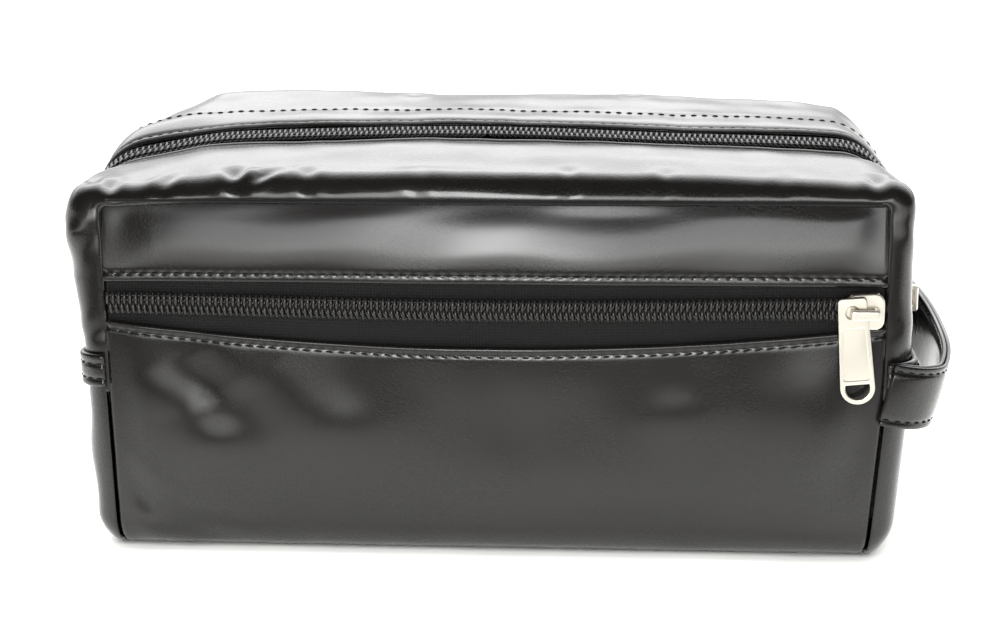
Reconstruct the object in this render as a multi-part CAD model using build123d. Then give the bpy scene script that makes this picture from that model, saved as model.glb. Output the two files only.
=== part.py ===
"""A boxy zipped toiletry bag in coated leather, with a zipped front pocket and a loop strap on one end.

Millimetres. X runs along the bag, with the loop strap on +X. Y runs from the front pocket (-Y) to the back.
+Z is up, and the origin is the middle of the base, on the surface that the bag stands on.
"""
import os
from math import atan2, cos, degrees, pi, radians, sin, tan

from build123d import *

# The bag's outer form
end_half = 117.0           # middle of the bag to the bulged middle of an end
end_bow = 2.0              # how far that bulge stands out from the end's rolled edges
base_narrowing = 3.5       # how far each end draws in between its folded band and the base
depth = 114.0              # front face to back face
crown_height = 113.0       # top of the bag at its middle
crown_half = 58.0          # middle of the bag to where the top starts to fall towards the ends
crown_fall = 4.0           # how far it falls by the ends
shoulder_radius = 16.0     # corner between the top and an end, along the main zip
top_depth = 9.0            # top of the bag down to the seams that join it to the front and the back
top_roll = 8.0             # rolled edge of the top, above those seams
corner_roll = 7.0          # rolled upright edges of the ends, as wide as an end's strip beside a side seam
base_round = 14.0          # the front and back turn under to the base
base_corner = 13.0         # the base turns up to the ends

# Layers
skin = 1.5                 # coated leather with its backing
lining_thick = 0.5
lining_space = 3.2         # skin to lining, where zips, seam allowances and the base board lie
panel_gap = 0.4            # between the top flaps and the panels that they fold away from
flap_margin = 19.0         # bulged end to the fold at each end of a flap
fold_share = 0.55          # a folded lining corner, as a share of the round that it would have

# Windows in the leather, where the zips show
main_window_half = 6.0
front_zip_drop = 29.5      # top seam to the middle of the front chain
window_above = 6.0         # that chain up to the upper front panel
window_below_end = 5.8     # and down to the pocket front, at its ends
window_below_mid = 12.0    # the same at the middle, where the edge sags

# Zip tape and coil, the same for both zips
tape_width = 14.0          # middle of the chain to the tape's outer edge
tape_thick = 0.5
tape_inner = 1.3           # middle of the chain to the tape's inner edge
coil_pitch = 1.6
coil_reach = 0.5           # how far a tooth passes the middle of the chain
coil_core = 0.9            # middle of the chain to the notches between a row's teeth
coil_half = 3.1            # half the width of the chain
coil_rise = 0.7            # the chain stands this far proud of the skin

# Slider, measured along the zip, across it, and outwards from the skin
slider_length = 10.8
slider_mouth_half = 5.3
slider_tail_half = 4.5
slider_round = 3.2
slider_plate = 1.2
slider_clear = 0.35        # plates and side walls to the chain and the tape
wedge_half = 1.0
wedge_length = 4.2
wedge_nose = 1.8           # from the wedge's tip to its widest
wedge_blunt = 0.7          # half its width at the mouth
bridge_length = 7.8
bridge_width = 2.4
bridge_bar = 1.3
bridge_leg = 1.4
bridge_window = 2.5
bridge_round = 1.5

# Pull tab
pull_length = 25.8         # from the leg that it hangs on to its far end
pull_near = 4.1            # radius of its near end, about that leg
pull_eye = 1.85            # radius of its eye, about that leg
pull_thick = 1.1
pull_float = 0.5           # height above the slider's top plate
pull_hole = 3.3            # radius of the D-shaped hole's round side
pull_hole_flat = 0.9       # middle of that round to the flat side
pull_border = 1.4          # around the D-shaped hole
pull_rim = 1.2             # raised rim around the sunken middle
pull_sink = 0.3
pull_lean = 5.5            # degrees that the front tab leans from the upright, its foot towards the strap

# Folded bands across the ends, which close off the main zip
band_low = 48.5
band_high = 56.5
band_thick = 1.4
rest_gap = 0.3             # between pieces that rest beside each other
coil_start = 0.3           # from the slider's wedge, at rest, to the chain's first teeth

# Loop strap
strap_width = 18.0
strap_layer = 1.3
strap_height = 51.0        # middle of the strap at the side seams
strap_straight = 1.0       # straight stretch between the seam and the turn
strap_radius = 13.0        # of the turn beside each seam
strap_heading = 14.0       # degrees between the strap and the bag's end, after that turn
strap_droop = 13.0         # degrees that the loop hangs below level
strap_lead = 6.0           # extra length, trimmed off along the seam

# Pocket, bindings and base
pocket_low = 16.0
pocket_drop = 4.4          # bindings down to the top of the pocket
pocket_margin = 0.7        # side seam to the pocket
pocket_back = 4.4          # outside of the skin to the back of the empty pocket
binding_width = 7.0
binding_margin = 3.0       # side seam to a binding
board_margin = 1.0         # the base board stops this far short of where the base turns up

half_depth = depth / 2
corner_half = end_half - end_bow
seam_half = corner_half - corner_roll
flap_half = end_half - flap_margin
shoulder_height = crown_height - crown_fall
seam_height = crown_height - top_depth
front_zip_height = seam_height - front_zip_drop
front_window_top = front_zip_height + window_above
front_window_end = front_zip_height - window_below_end
front_window_mid = front_zip_height - window_below_mid
pocket_half = seam_half - pocket_margin
binding_half = seam_half - binding_margin
lining_inset = skin + lining_space
tape_inset = skin + tape_thick
big = 300.0
tiny = 0.01
outline_play = 0.05        # keeps flat sides of crossing outlines out of one plane

parts = {}
forms = {}


def block(x0, x1, y0, y1, z0, z1):
    """A box between two corners."""
    return Pos((x0 + x1) / 2, (y0 + y1) / 2, (z0 + z1) / 2) * Box(abs(x1 - x0), abs(y1 - y0), abs(z1 - z0))


def turned(corners, radius, folded):
    """An outline with these corners rounded, or folded straight across just outside that round."""
    return chamfer(corners, radius * fold_share) if folded else fillet(corners, radius)


def plan_outline(inset, folded=False):
    """The bag from above: flat front and back, bowed ends, rolled corners."""
    x = corner_half - inset
    bow = end_half - inset
    y = half_depth - inset + outline_play
    face = make_face(Wire([
        Line((-x, -y), (x, -y)),
        ThreePointArc((x, -y), (bow, 0), (x, y)),
        Line((x, y), (-x, y)),
        ThreePointArc((-x, y), (-bow, 0), (-x, -y)),
    ]))
    return turned(face.vertices(), corner_roll - inset / 2, folded)


def front_outline(inset, folded=False):
    """The bag from the front: flat-crowned top, round shoulders, ends that draw in towards the base."""
    top = end_half + outline_play - inset
    foot = top - base_narrowing
    low = inset - outline_play
    high = shoulder_height - inset
    crown = crown_height - inset
    face = make_face(Polyline(
        (-foot, low), (foot, low), (top, band_low), (top, high), (crown_half, crown),
        (-crown_half, crown), (-top, high), (-top, band_low), close=True,
    ))
    shoulders = face.vertices().filter_by(lambda v: abs(v.Y - high) < tiny)
    face = fillet(shoulders, shoulder_radius - inset)
    feet = face.vertices().filter_by(lambda v: abs(v.Y - low) < tiny)
    return turned(feet, base_corner - inset, folded)


def side_outline(inset, folded=False):
    """The bag from an end: rolled top edges, front and back that turn under to the base."""
    y = half_depth - inset
    high = crown_height + outline_play - inset
    face = Pos(0, (inset + high) / 2) * Rectangle(2 * y, high - inset)
    face = turned(face.vertices().filter_by(lambda v: abs(v.Y - inset) < tiny), base_round - inset, folded)
    return turned(face.vertices().filter_by(lambda v: abs(v.Y - high) < tiny), top_roll - inset / 2, folded)


def form(inset, folded=False):
    """The bag's closed outer form, or the same form this far inside it."""
    if (inset, folded) not in forms:
        from_above = extrude(plan_outline(inset, folded), big / 2, both=True)
        from_front = extrude(Plane.XZ * front_outline(inset, folded), big / 2, both=True)
        from_end = extrude(Plane.YZ * side_outline(inset, folded), big / 2, both=True)
        forms[inset, folded] = (from_front & from_end) & from_above
    return forms[inset, folded]


def layer(outside, inside):
    """The closed layer of the bag between two insets."""
    return form(outside) - form(inside)


def beyond(sign, near, y0, y1, z0, z1=big):
    """Everything past this distance from the middle of the bag, on one side."""
    return block(sign * near, sign * big, y0, y1, z0, z1)


def end_zone(sign, y0, y1, low):
    """The upper part of an end, with the outer part of the top that stays still when the bag opens."""
    outside_seam = beyond(sign, seam_half, y0, y1, low)
    outside_flap = beyond(sign, flap_half + panel_gap / 2, y0, y1, seam_height)
    return outside_seam + outside_flap


def flap_zone(y0, y1):
    """The part of the top that folds back when the bag opens."""
    reach = flap_half - panel_gap / 2
    return block(-reach, reach, y0, y1, seam_height + panel_gap / 2, big)


# Outer skin, cut into the panels that are sewn together
skin_layer = layer(0, skin)
panel_top = seam_height - panel_gap / 2
front_inside = half_depth - skin

parts["front_upper_panel"] = skin_layer & block(
    -seam_half, seam_half, -big, -front_inside, front_window_top, panel_top
)

pocket_edge = make_face(Wire([
    Line((-seam_half, front_window_end), (-seam_half, 0)),
    Line((-seam_half, 0), (seam_half, 0)),
    Line((seam_half, 0), (seam_half, front_window_end)),
    ThreePointArc((seam_half, front_window_end), (0, front_window_mid), (-seam_half, front_window_end)),
]))
pocket_side = extrude(Plane.XZ * pocket_edge, big) & block(-big, big, -big, 0, -big, big)
back_side = block(-seam_half, seam_half, 0, big, -tiny, panel_top)
parts["body_wrap"] = skin_layer & (pocket_side + back_side)

band_half = half_depth - corner_roll
sides = {"left": -1, "right": 1}
faces = {"front": -1, "rear": 1}
for side, sign in sides.items():
    parts[side + "_end_panel"] = skin_layer & beyond(sign, seam_half, -big, big, -big, band_low)
    for face_name, facing in faces.items():
        zone = end_zone(sign, facing * main_window_half, facing * big, band_low)
        parts[f"{side}_gusset_{face_name}"] = skin_layer & zone
    band_zone = beyond(sign, corner_half - corner_roll, -band_half, band_half, band_low, band_high)
    parts[side + "_end_band"] = layer(-band_thick, 0) & band_zone
for face_name, facing in faces.items():
    parts[f"top_{face_name}_strip"] = skin_layer & flap_zone(facing * main_window_half, facing * big)
print("panels", len(parts))

# Zip tapes and flap linings, in one layer under the leather
under_skin = layer(skin, tape_inset)
for face_name, facing in faces.items():
    parts["main_zip_tape_" + face_name] = under_skin & flap_zone(facing * tape_inner, facing * tape_width)
    parts[f"top_{face_name}_lining"] = under_skin & flap_zone(facing * tape_width, facing * big)
    for side, sign in sides.items():
        zone = end_zone(sign, facing * tape_inner, facing * tape_width, band_low)
        parts[f"{side}_zip_tape_{face_name}"] = under_skin & zone
for row, up in (("upper", 1), ("lower", -1)):
    near = front_zip_height + up * tape_inner
    far = front_zip_height + up * tape_width
    parts["front_zip_tape_" + row] = block(
        -pocket_half + lining_thick, pocket_half - lining_thick,
        -front_inside, tape_thick - front_inside, near, far
    )
print("tapes", len(parts))

# Coils: one row of each zip is a comb whose teeth stand in the gaps of the other row
slider_reach = slider_length / 2
front_slider_x = pocket_half - lining_thick - rest_gap - slider_reach
main_slider_z = band_high + rest_gap + slider_reach
wedge_tip = slider_reach - wedge_length


def comb(start, end, phase):
    """One row of the chain, lying along X with its pointed teeth towards -Y."""
    points = [(start, coil_half), (start, coil_core)]
    notch = start + coil_pitch * phase + tiny
    while notch + coil_pitch < end:
        points += [(notch, coil_core), (notch + coil_pitch / 2, -coil_reach)]
        notch += coil_pitch
    points += [(notch, coil_core), (end, coil_core), (end, coil_half)]
    return make_face(Polyline(*points, close=True))


front_chain_end = front_slider_x + wedge_tip - coil_start
front_chain = (-pocket_half + 2 * lining_thick, front_chain_end)
chain_thick = skin + coil_rise
front_chain_back = Pos(0, -front_inside, front_zip_height)
upper_row = extrude(Plane.XZ * comb(*front_chain, 0), chain_thick)
lower_row = extrude(Plane.XZ * mirror(comb(*front_chain, 0.5), about=Plane.XZ), chain_thick)
parts["front_zip_coil_upper"] = front_chain_back * upper_row
parts["front_zip_coil_lower"] = front_chain_back * lower_row

tooth_angle = coil_pitch / shoulder_radius


def coil_outline(inset):
    """The bag from the front, with each shoulder in short flat stretches, about one for each tooth."""
    top = end_half + outline_play - inset
    high = shoulder_height - inset
    radius = shoulder_radius - inset
    turn = pi / 2 - atan2(crown_height - inset - high, top - crown_half)
    count = round(turn / tooth_angle)
    step = turn / count
    far = radius / cos(step / 2)
    centre = (top - radius, high - radius * tan(turn / 2))
    bend = [
        (centre[0] + far * cos(step * (place + 0.5)), centre[1] + far * sin(step * (place + 0.5)))
        for place in range(count)
    ]
    right = [(top, 0), *bend, (crown_half, crown_height - inset)]
    left = [(-x, z) for x, z in reversed(right)]
    return make_face(Polyline(*right, *left, close=True))


coil_layer = extrude(Plane.XZ * (coil_outline(-coil_rise) - coil_outline(skin)), coil_half, both=True)
top_chain = (panel_gap - flap_half, flap_half - panel_gap)
rear_row = Pos(0, 0, seam_height) * extrude(comb(*top_chain, 0), top_roll + crown_height)
front_row = Pos(0, 0, seam_height) * extrude(mirror(comb(*top_chain, 0.5), about=Plane.XZ), top_roll + crown_height)
parts["main_zip_coil_rear"] = coil_layer & rear_row
parts["main_zip_coil_front"] = coil_layer & front_row

shoulder_turn = pi / 2 - atan2(crown_height - shoulder_height, end_half - crown_half)
shoulder_x = end_half - shoulder_radius
shoulder_z = shoulder_height - shoulder_radius * tan(shoulder_turn / 2)


def tooth(facing):
    """One tooth of a row on the right end, with its notches on the row's own side of the chain's middle."""
    outline = make_face(Polyline(
        (facing * (coil_core + tiny), -coil_pitch / 2), (facing * (coil_core + tiny), coil_pitch / 2),
        (-facing * coil_reach, 0), close=True,
    ))
    return extrude(Plane.YZ * outline, chain_thick, both=True)


def end_row(sign, facing, phase, low):
    """One row of the main zip where it runs down an end and over the shoulder."""
    row = end_zone(sign, facing * coil_core, facing * coil_half, low)
    teeth = []
    height = low + coil_pitch * (0.5 + phase)
    while height < shoulder_z:
        teeth.append(Pos(end_half, 0, height) * tooth(facing))
        height += coil_pitch
    angle = (height - shoulder_z) / shoulder_radius
    while angle < shoulder_turn:
        spoke = Rot(0, -degrees(angle), 0) * (Pos(shoulder_radius, 0, 0) * tooth(facing))
        teeth.append(Pos(shoulder_x, 0, shoulder_z) * spoke)
        angle += tooth_angle
    placed = teeth if sign > 0 else [mirror(one, about=Plane.YZ) for one in teeth]
    return coil_layer & (row + placed)


chain_low = {"left": band_high + rest_gap, "right": main_slider_z - wedge_tip + coil_start}
for side, sign in sides.items():
    for face_name, facing in faces.items():
        phase = 0 if facing > 0 else 0.5
        parts[f"{side}_zip_coil_{face_name}"] = end_row(sign, facing, phase, chain_low[side])
print("coils", len(parts))

# Lining, front pocket, seam bindings and base board
lining = form(lining_inset, folded=True) - form(lining_inset + lining_thick, folded=True)
lining_top = panel_top - panel_gap
end_slits = [beyond(sign, flap_half, -main_window_half, main_window_half, band_high) for sign in sides.values()]
parts["body_lining"] = (lining & block(-big, big, -big, big, -big, lining_top)) - end_slits

pocket_front_y = -front_inside
pocket_back_y = pocket_back - half_depth
pocket_high = lining_top - binding_width - pocket_drop
pocket_bag = block(-pocket_half, pocket_half, pocket_front_y, pocket_back_y, pocket_low, pocket_high)
pocket_room = block(
    lining_thick - pocket_half, pocket_half - lining_thick,
    pocket_front_y, pocket_back_y - lining_thick,
    pocket_low + lining_thick, pocket_high - lining_thick,
)
parts["pocket_lining"] = (pocket_bag & form(skin)) - pocket_room

for face_name, facing in faces.items():
    parts[face_name + "_seam_binding"] = block(
        -binding_half, binding_half,
        facing * front_inside, facing * (half_depth - lining_inset),
        lining_top - binding_width, lining_top,
    )
board_half_length = end_half - base_narrowing - base_corner - board_margin
board_half_depth = half_depth - base_round - board_margin
parts["base_board"] = block(
    -board_half_length, board_half_length, -board_half_depth, board_half_depth, skin, lining_inset
)
print("inside", len(parts))

# Slider, in its own frame: X along the zip towards its open end, Z out of the bag, zero on the skin
plate_low = coil_rise + slider_clear
plate_top = plate_low + slider_plate
back_plate_high = -tape_inset - slider_clear
wall_low = slider_clear - skin


def slider_outline():
    """Both plates from above: broad at the mouth, narrower at the tail."""
    outline = make_face(Polyline(
        (-slider_reach, -slider_tail_half),
        (slider_reach, -slider_mouth_half),
        (slider_reach, slider_mouth_half),
        (-slider_reach, slider_tail_half),
        close=True,
    ))
    return fillet(outline.vertices(), slider_round)


def slider_body():
    """Two plates joined by the wedge, with side walls that bring the two rows of the chain together."""
    outline = slider_outline()
    top_plate = Pos(0, 0, plate_low) * extrude(outline, slider_plate)
    back_plate = Pos(0, 0, back_plate_high - slider_plate) * extrude(outline, slider_plate)
    channel_half = coil_half + slider_clear
    channel = make_face(Polyline(
        (-big, -channel_half),
        (0, -channel_half),
        (slider_reach, -slider_mouth_half),
        (slider_reach, slider_mouth_half),
        (0, channel_half),
        (-big, channel_half),
        close=True,
    ))
    walls = Pos(0, 0, wall_low) * extrude(outline - channel, plate_top - wall_low)
    wedge_outline = make_face(Polyline(
        (wedge_tip, 0),
        (wedge_tip + wedge_nose, wedge_half),
        (slider_reach, wedge_blunt),
        (slider_reach, -wedge_blunt),
        (wedge_tip + wedge_nose, -wedge_half),
        close=True,
    ))
    wedge = Pos(0, 0, back_plate_high - slider_plate) * extrude(
        wedge_outline & outline, plate_top - back_plate_high + slider_plate
    )
    return top_plate + back_plate + walls + wedge


def slider_bridge():
    """The bar over the top plate that the pull tab hangs on, with a leg at each end."""
    height = bridge_window + bridge_bar
    profile = Pos(0, plate_top + height / 2) * Rectangle(bridge_length, height)
    upper = profile.vertices().filter_by(lambda v: v.Y > plate_top + tiny)
    profile = fillet(upper, bridge_round)
    profile -= Pos(0, plate_top + bridge_window / 2) * Rectangle(bridge_length - 2 * bridge_leg, bridge_window)
    return extrude(Plane.XZ * profile, bridge_width / 2, both=True)


def pull_tab():
    """The pull, lying along X away from its eye: round near end, D-shaped hole and a sunken middle."""
    far_centre = pull_length - pull_hole - pull_border
    far_radius = pull_hole + pull_border
    near = Circle(pull_near)
    far = Pos(far_centre, 0) * Circle(far_radius)
    sides_between = make_face(Polyline(
        (0, -pull_near), (far_centre, -far_radius), (far_centre, far_radius), (0, pull_near), close=True
    ))
    outline = near + far + sides_between
    hole = Pos(far_centre, 0) * Circle(pull_hole)
    hole &= Pos(far_centre - pull_hole_flat + far_radius, 0) * Rectangle(2 * far_radius, 2 * far_radius)
    plate = extrude(outline - Circle(pull_eye) - hole, pull_thick)
    sink_start = pull_near
    sink_end = far_centre - pull_hole_flat - pull_rim
    sink = make_face(Polyline(
        (sink_start, pull_rim - pull_near), (sink_end, pull_rim - far_radius),
        (sink_end, far_radius - pull_rim), (sink_start, pull_near - pull_rim), close=True,
    ))
    plate -= Pos(0, 0, pull_thick - pull_sink) * extrude(sink, pull_thick)
    return Pos(0, 0, plate_top + pull_float) * plate


leg_offset = (bridge_length - bridge_leg) / 2
front_place = Plane(origin=(front_slider_x, -half_depth, front_zip_height), x_dir=(1, 0, 0), z_dir=(0, -1, 0))
main_place = Plane(origin=(end_half, 0, main_slider_z), x_dir=(0, 0, -1), z_dir=(1, 0, 0))
front_leg = (front_slider_x - leg_offset, -half_depth, front_zip_height)
main_leg = (end_half, 0, main_slider_z - leg_offset)
for name, place in (("front", front_place), ("main", main_place)):
    parts[name + "_slider_body"] = place.location * slider_body()
    parts[name + "_slider_bridge"] = place.location * slider_bridge()
front_hang = (sin(radians(pull_lean)), 0, -cos(radians(pull_lean)))
parts["front_pull_tab"] = Plane(origin=front_leg, x_dir=front_hang, z_dir=(0, -1, 0)).location * pull_tab()
parts["main_pull_tab"] = Plane(origin=main_leg, x_dir=(0, 0, -1), z_dir=(1, 0, 0)).location * pull_tab()
print("sliders", len(parts), front_leg, main_leg)

# Loop strap: two layers sewn together, caught in both side seams of the right end


def strap_path(outward):
    """The loop from above, as a line this far outside the bag-side face of the strap."""
    start = half_depth + rest_gap + outward
    turn = strap_radius + outward
    centre_y = start - turn
    heading = radians(strap_heading)
    turn_x = seam_half + strap_straight
    turn_end = (turn_x + turn * cos(heading), centre_y + turn * sin(heading))
    turn_mid_angle = (heading + pi / 2) / 2
    turn_mid = (turn_x + turn * cos(turn_mid_angle), centre_y + turn * sin(turn_mid_angle))
    long_radius = turn_end[1] / sin(heading)
    farthest = (turn_end[0] + long_radius * (1 - cos(heading)), 0)
    return [
        Line((seam_half - strap_lead, -start), (turn_x, -start)),
        ThreePointArc((turn_x, -start), (turn_mid[0], -turn_mid[1]), (turn_end[0], -turn_end[1])),
        ThreePointArc((turn_end[0], -turn_end[1]), farthest, turn_end),
        ThreePointArc(turn_end, turn_mid, (turn_x, start)),
        Line((turn_x, start), (seam_half - strap_lead, start)),
    ]


def strap_band(inner, outer):
    """One layer of the strap, trimmed along the side seams."""
    near_lines = strap_path(inner)
    far_lines = strap_path(outer)
    closing = [
        Line(near_lines[0] @ 0, far_lines[0] @ 0),
        Line(near_lines[-1] @ 1, far_lines[-1] @ 1),
    ]
    band = extrude(make_face(Wire(near_lines + far_lines + closing)), strap_width / 2, both=True)
    drooped = Pos(seam_half, 0, strap_height) * (Rot(0, strap_droop, 0) * (Pos(-seam_half, 0, 0) * band))
    return drooped & beyond(1, seam_half, -big, big, -big)


parts["wrist_strap_inner"] = strap_band(0, strap_layer)
parts["wrist_strap_outer"] = strap_band(strap_layer, 2 * strap_layer)

os.makedirs("parts", exist_ok=True)
for name, part in parts.items():
    solids = part.solids()
    print(name, len(solids), round(part.volume, 1))
    shape = solids[0] if len(solids) == 1 else Compound(children=solids)
    export_step(shape, f"parts/{name}.step")
print("pieces", len(parts))
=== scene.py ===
import math

import bmesh
import bpy
import numpy as np
from mathutils import Matrix, Vector


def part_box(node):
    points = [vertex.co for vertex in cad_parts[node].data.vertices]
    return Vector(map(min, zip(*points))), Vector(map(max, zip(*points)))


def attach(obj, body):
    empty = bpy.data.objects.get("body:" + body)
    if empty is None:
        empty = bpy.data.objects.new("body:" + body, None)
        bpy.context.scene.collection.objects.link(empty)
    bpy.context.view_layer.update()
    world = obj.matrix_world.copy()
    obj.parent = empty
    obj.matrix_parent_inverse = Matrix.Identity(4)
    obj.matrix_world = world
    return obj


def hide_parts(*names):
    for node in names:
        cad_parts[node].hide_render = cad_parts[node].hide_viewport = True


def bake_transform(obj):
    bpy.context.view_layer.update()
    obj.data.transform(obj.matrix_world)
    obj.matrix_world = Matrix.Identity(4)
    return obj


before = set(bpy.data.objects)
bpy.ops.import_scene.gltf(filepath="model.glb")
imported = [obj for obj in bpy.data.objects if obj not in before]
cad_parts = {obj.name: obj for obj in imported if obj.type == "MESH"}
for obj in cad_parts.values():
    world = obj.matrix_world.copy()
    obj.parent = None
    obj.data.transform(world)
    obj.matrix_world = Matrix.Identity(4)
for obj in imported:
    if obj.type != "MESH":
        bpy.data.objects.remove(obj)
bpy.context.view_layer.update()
mm = 0.001


# Millimetres from here on. X runs along the bag, -Y is its front and +Z is up.
def boxOf(node):
    low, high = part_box(node)
    return np.array(low) / mm, np.array(high) / mm


bag = {
    "seamHalf": boxOf("front_upper_panel")[1][0],  # middle to a side seam
    "endHalf": 117.0,  # middle to the bulged middle of an end
    "endBow": 2.0,
    "halfDepth": -boxOf("front_upper_panel")[0][1],
    "crown": boxOf("top_front_strip")[1][2],
    "crownFall": 4.0,
    "crownHalf": 58.0,
    "shoulderRadius": 16.0,
    "seamHeight": 104.0,
    "cornerRoll": 7.0,
    "baseRound": 11.0,
    "baseCorner": 13.0,
    "narrowing": {-1: 0.6, 1: 3.6},  # how far each end draws in towards the base
    "bandLow": boxOf("left_end_band")[0][2],
    "bandHigh": boxOf("left_end_band")[1][2],
    "windowHalf": 6.0,  # half the width of the main zip's window
    "windowTop": boxOf("front_upper_panel")[0][2],
    "pocketEdgeEnd": 69.4,
    "pocketEdgeMid": 62.5,
    "zipHeight": 74.5,
    "zipSag": 1.4,  # the front chain hangs this much lower at its middle
    "leather": 1.3,  # thickness of the coated leather
    "tuck": 1.5,  # radius at which a panel's edge turns into a seam
}
seamHalf, endHalf, endBow, halfDepth = (bag[key] for key in ("seamHalf", "endHalf", "endBow", "halfDepth"))
crown, seamHeight, bandLow, cornerRoll = (bag[key] for key in ("crown", "seamHeight", "bandLow", "cornerRoll"))
windowHalf, tuck, leatherThick = bag["windowHalf"], bag["tuck"], bag["leather"]
sides = {"Left": -1, "Right": 1}
faces = {"front": -1, "rear": 1}


# A step that starts and ends softly: t squared times (3 minus 2 t), between 0 and 1
def smooth(t):
    t = np.clip(t, 0, 1)
    return t * t * (3 - 2 * t)


# Bell curve: e to minus the square of the distance in widths
def bell(distance, width):
    return np.exp(-((distance / width) ** 2))


def unit(v):
    return v / np.maximum(np.linalg.norm(v, axis=-1, keepdims=True), 1e-9)


# Length along a line of points up to each point
def lengths(points):
    return np.r_[0, np.cumsum(np.linalg.norm(np.diff(points, axis=0), axis=1))]


# A line of points, read between its points at these lengths
def readAt(at, along, points):
    return np.stack([np.interp(at, along, points[:, k]) for k in range(points.shape[1])], axis=-1)


# Grid of points from three arrays that are spread over each other's shapes
def gridOf(x, y, z):
    return np.stack(np.broadcast_arrays(x, y, z), axis=-1)


# Angles of a quarter turn, in radians
def quarter(count):
    return np.radians(np.linspace(0, 90, count))


# Points at equal distances along a line of points
def resample(points, count):
    points = np.array(points, float)
    along = lengths(points)
    return readAt(np.linspace(0, along[-1], count), along, points)


# Points on a circle: centre plus radius times (cosine, sine), angles in degrees
def arcPoints(centre, radius, start, stop, count):
    angle = np.radians(np.linspace(start, stop, count))
    return np.stack([centre[0] + radius * np.cos(angle), centre[1] + radius * np.sin(angle)], axis=1)


# Normals of a grid of points: the cross product of its two directions, with the sign that points them
# outwards
def gridNormals(grid, sign=1):
    return sign * unit(np.cross(np.gradient(grid, axis=0), np.gradient(grid, axis=1)))


# A sum of sine waves in seeded random directions, near this wavelength, between about -1 and 1
def ripple(points, wavelength, seed, waves=9):
    rng = np.random.default_rng(seed)
    total = np.zeros(points.shape[:-1])
    for _ in range(waves):
        direction = rng.normal(size=3)
        direction *= 2 * math.pi / (wavelength * rng.uniform(0.7, 1.5) * np.linalg.norm(direction))
        total += np.sin(points @ direction + rng.uniform(0, 2 * math.pi))
    return total / math.sqrt(waves)


# A crease along a straight line: depth times a bell curve of the distance to it, with a soft lip beside the
# groove
def crease(points, start, end, width, depth):
    start, end = np.array(start, float), np.array(end, float)
    way = end - start
    t = np.clip((points - start) @ way / (way @ way), 0, 1)
    distance = np.linalg.norm(points - start - t[..., None] * way, axis=-1)
    ends = 0.35 + 0.65 * np.sin(math.pi * np.clip(t, 0.02, 0.98))
    return -depth * ends * (bell(distance, width) - 0.45 * bell(distance - 1.9 * width, width))


# A soft bump: its height times a bell curve of the distance to its middle, measured in its own radii
def bump(points, centre, radii, height):
    return height * np.exp(-(((points - centre) / radii) ** 2).sum(axis=-1))


def newMesh(name, vertices, polygons, uv=None):
    mesh = bpy.data.meshes.new(name)
    mesh.from_pydata((np.asarray(vertices) * mm).tolist(), [], polygons)
    if uv is not None:
        layer = mesh.uv_layers.new(name="length")
        loops = np.empty(len(mesh.loops), int)
        mesh.loops.foreach_get("vertex_index", loops)
        layer.data.foreach_set("uv", (np.asarray(uv)[loops] * mm).astype(np.float32).ravel())
    mesh.polygons.foreach_set("use_smooth", np.ones(len(mesh.polygons), bool))
    mesh.update()
    return mesh


def linked(name, data):
    made = bpy.data.objects.new(name, data)
    bpy.context.scene.collection.objects.link(made)
    return made


def place(name, mesh, material, body=None, nodes=()):
    piece = linked(name, mesh)
    mesh.materials.append(material)
    if body:
        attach(piece, body)
    if nodes:
        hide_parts(*nodes)
    return piece


# Adds rows beyond an edge of a grid that turn a quarter circle into the seam
def tuckEdge(grid, axis, atEnd, sign=1, rows=4):
    work = np.moveaxis(grid, axis, 0)
    if not atEnd:
        work = work[::-1]
    normals = np.moveaxis(gridNormals(grid, sign), axis, 0)
    edgeNormal = normals[-1] if atEnd else normals[0]
    outward = unit(work[-1] - work[-2])
    turn = quarter(rows + 1)[1:, None, None]
    extra = work[-1] + outward * tuck * np.sin(turn) - edgeNormal * tuck * (1 - np.cos(turn))
    work = np.concatenate([work, extra])
    if not atEnd:
        work = work[::-1]
    return np.moveaxis(work, 0, axis)


# Tucks both ends and the upper edge of a panel
def tuckPanel(grid, sign=1):
    for axis, atEnd in ((0, True), (0, False), (1, True)):
        grid = tuckEdge(grid, axis, atEnd, sign)
    return grid


# Four-cornered faces between rings of points, each closed on itself
def ringFaces(rows, size):
    i, j = np.meshgrid(np.arange(rows - 1), np.arange(size), indexing="ij")
    k = (j + 1) % size
    near, far = i * size, (i + 1) * size
    return np.stack([near + j, far + j, far + k, near + k], axis=-1).reshape(-1, 4)


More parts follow.
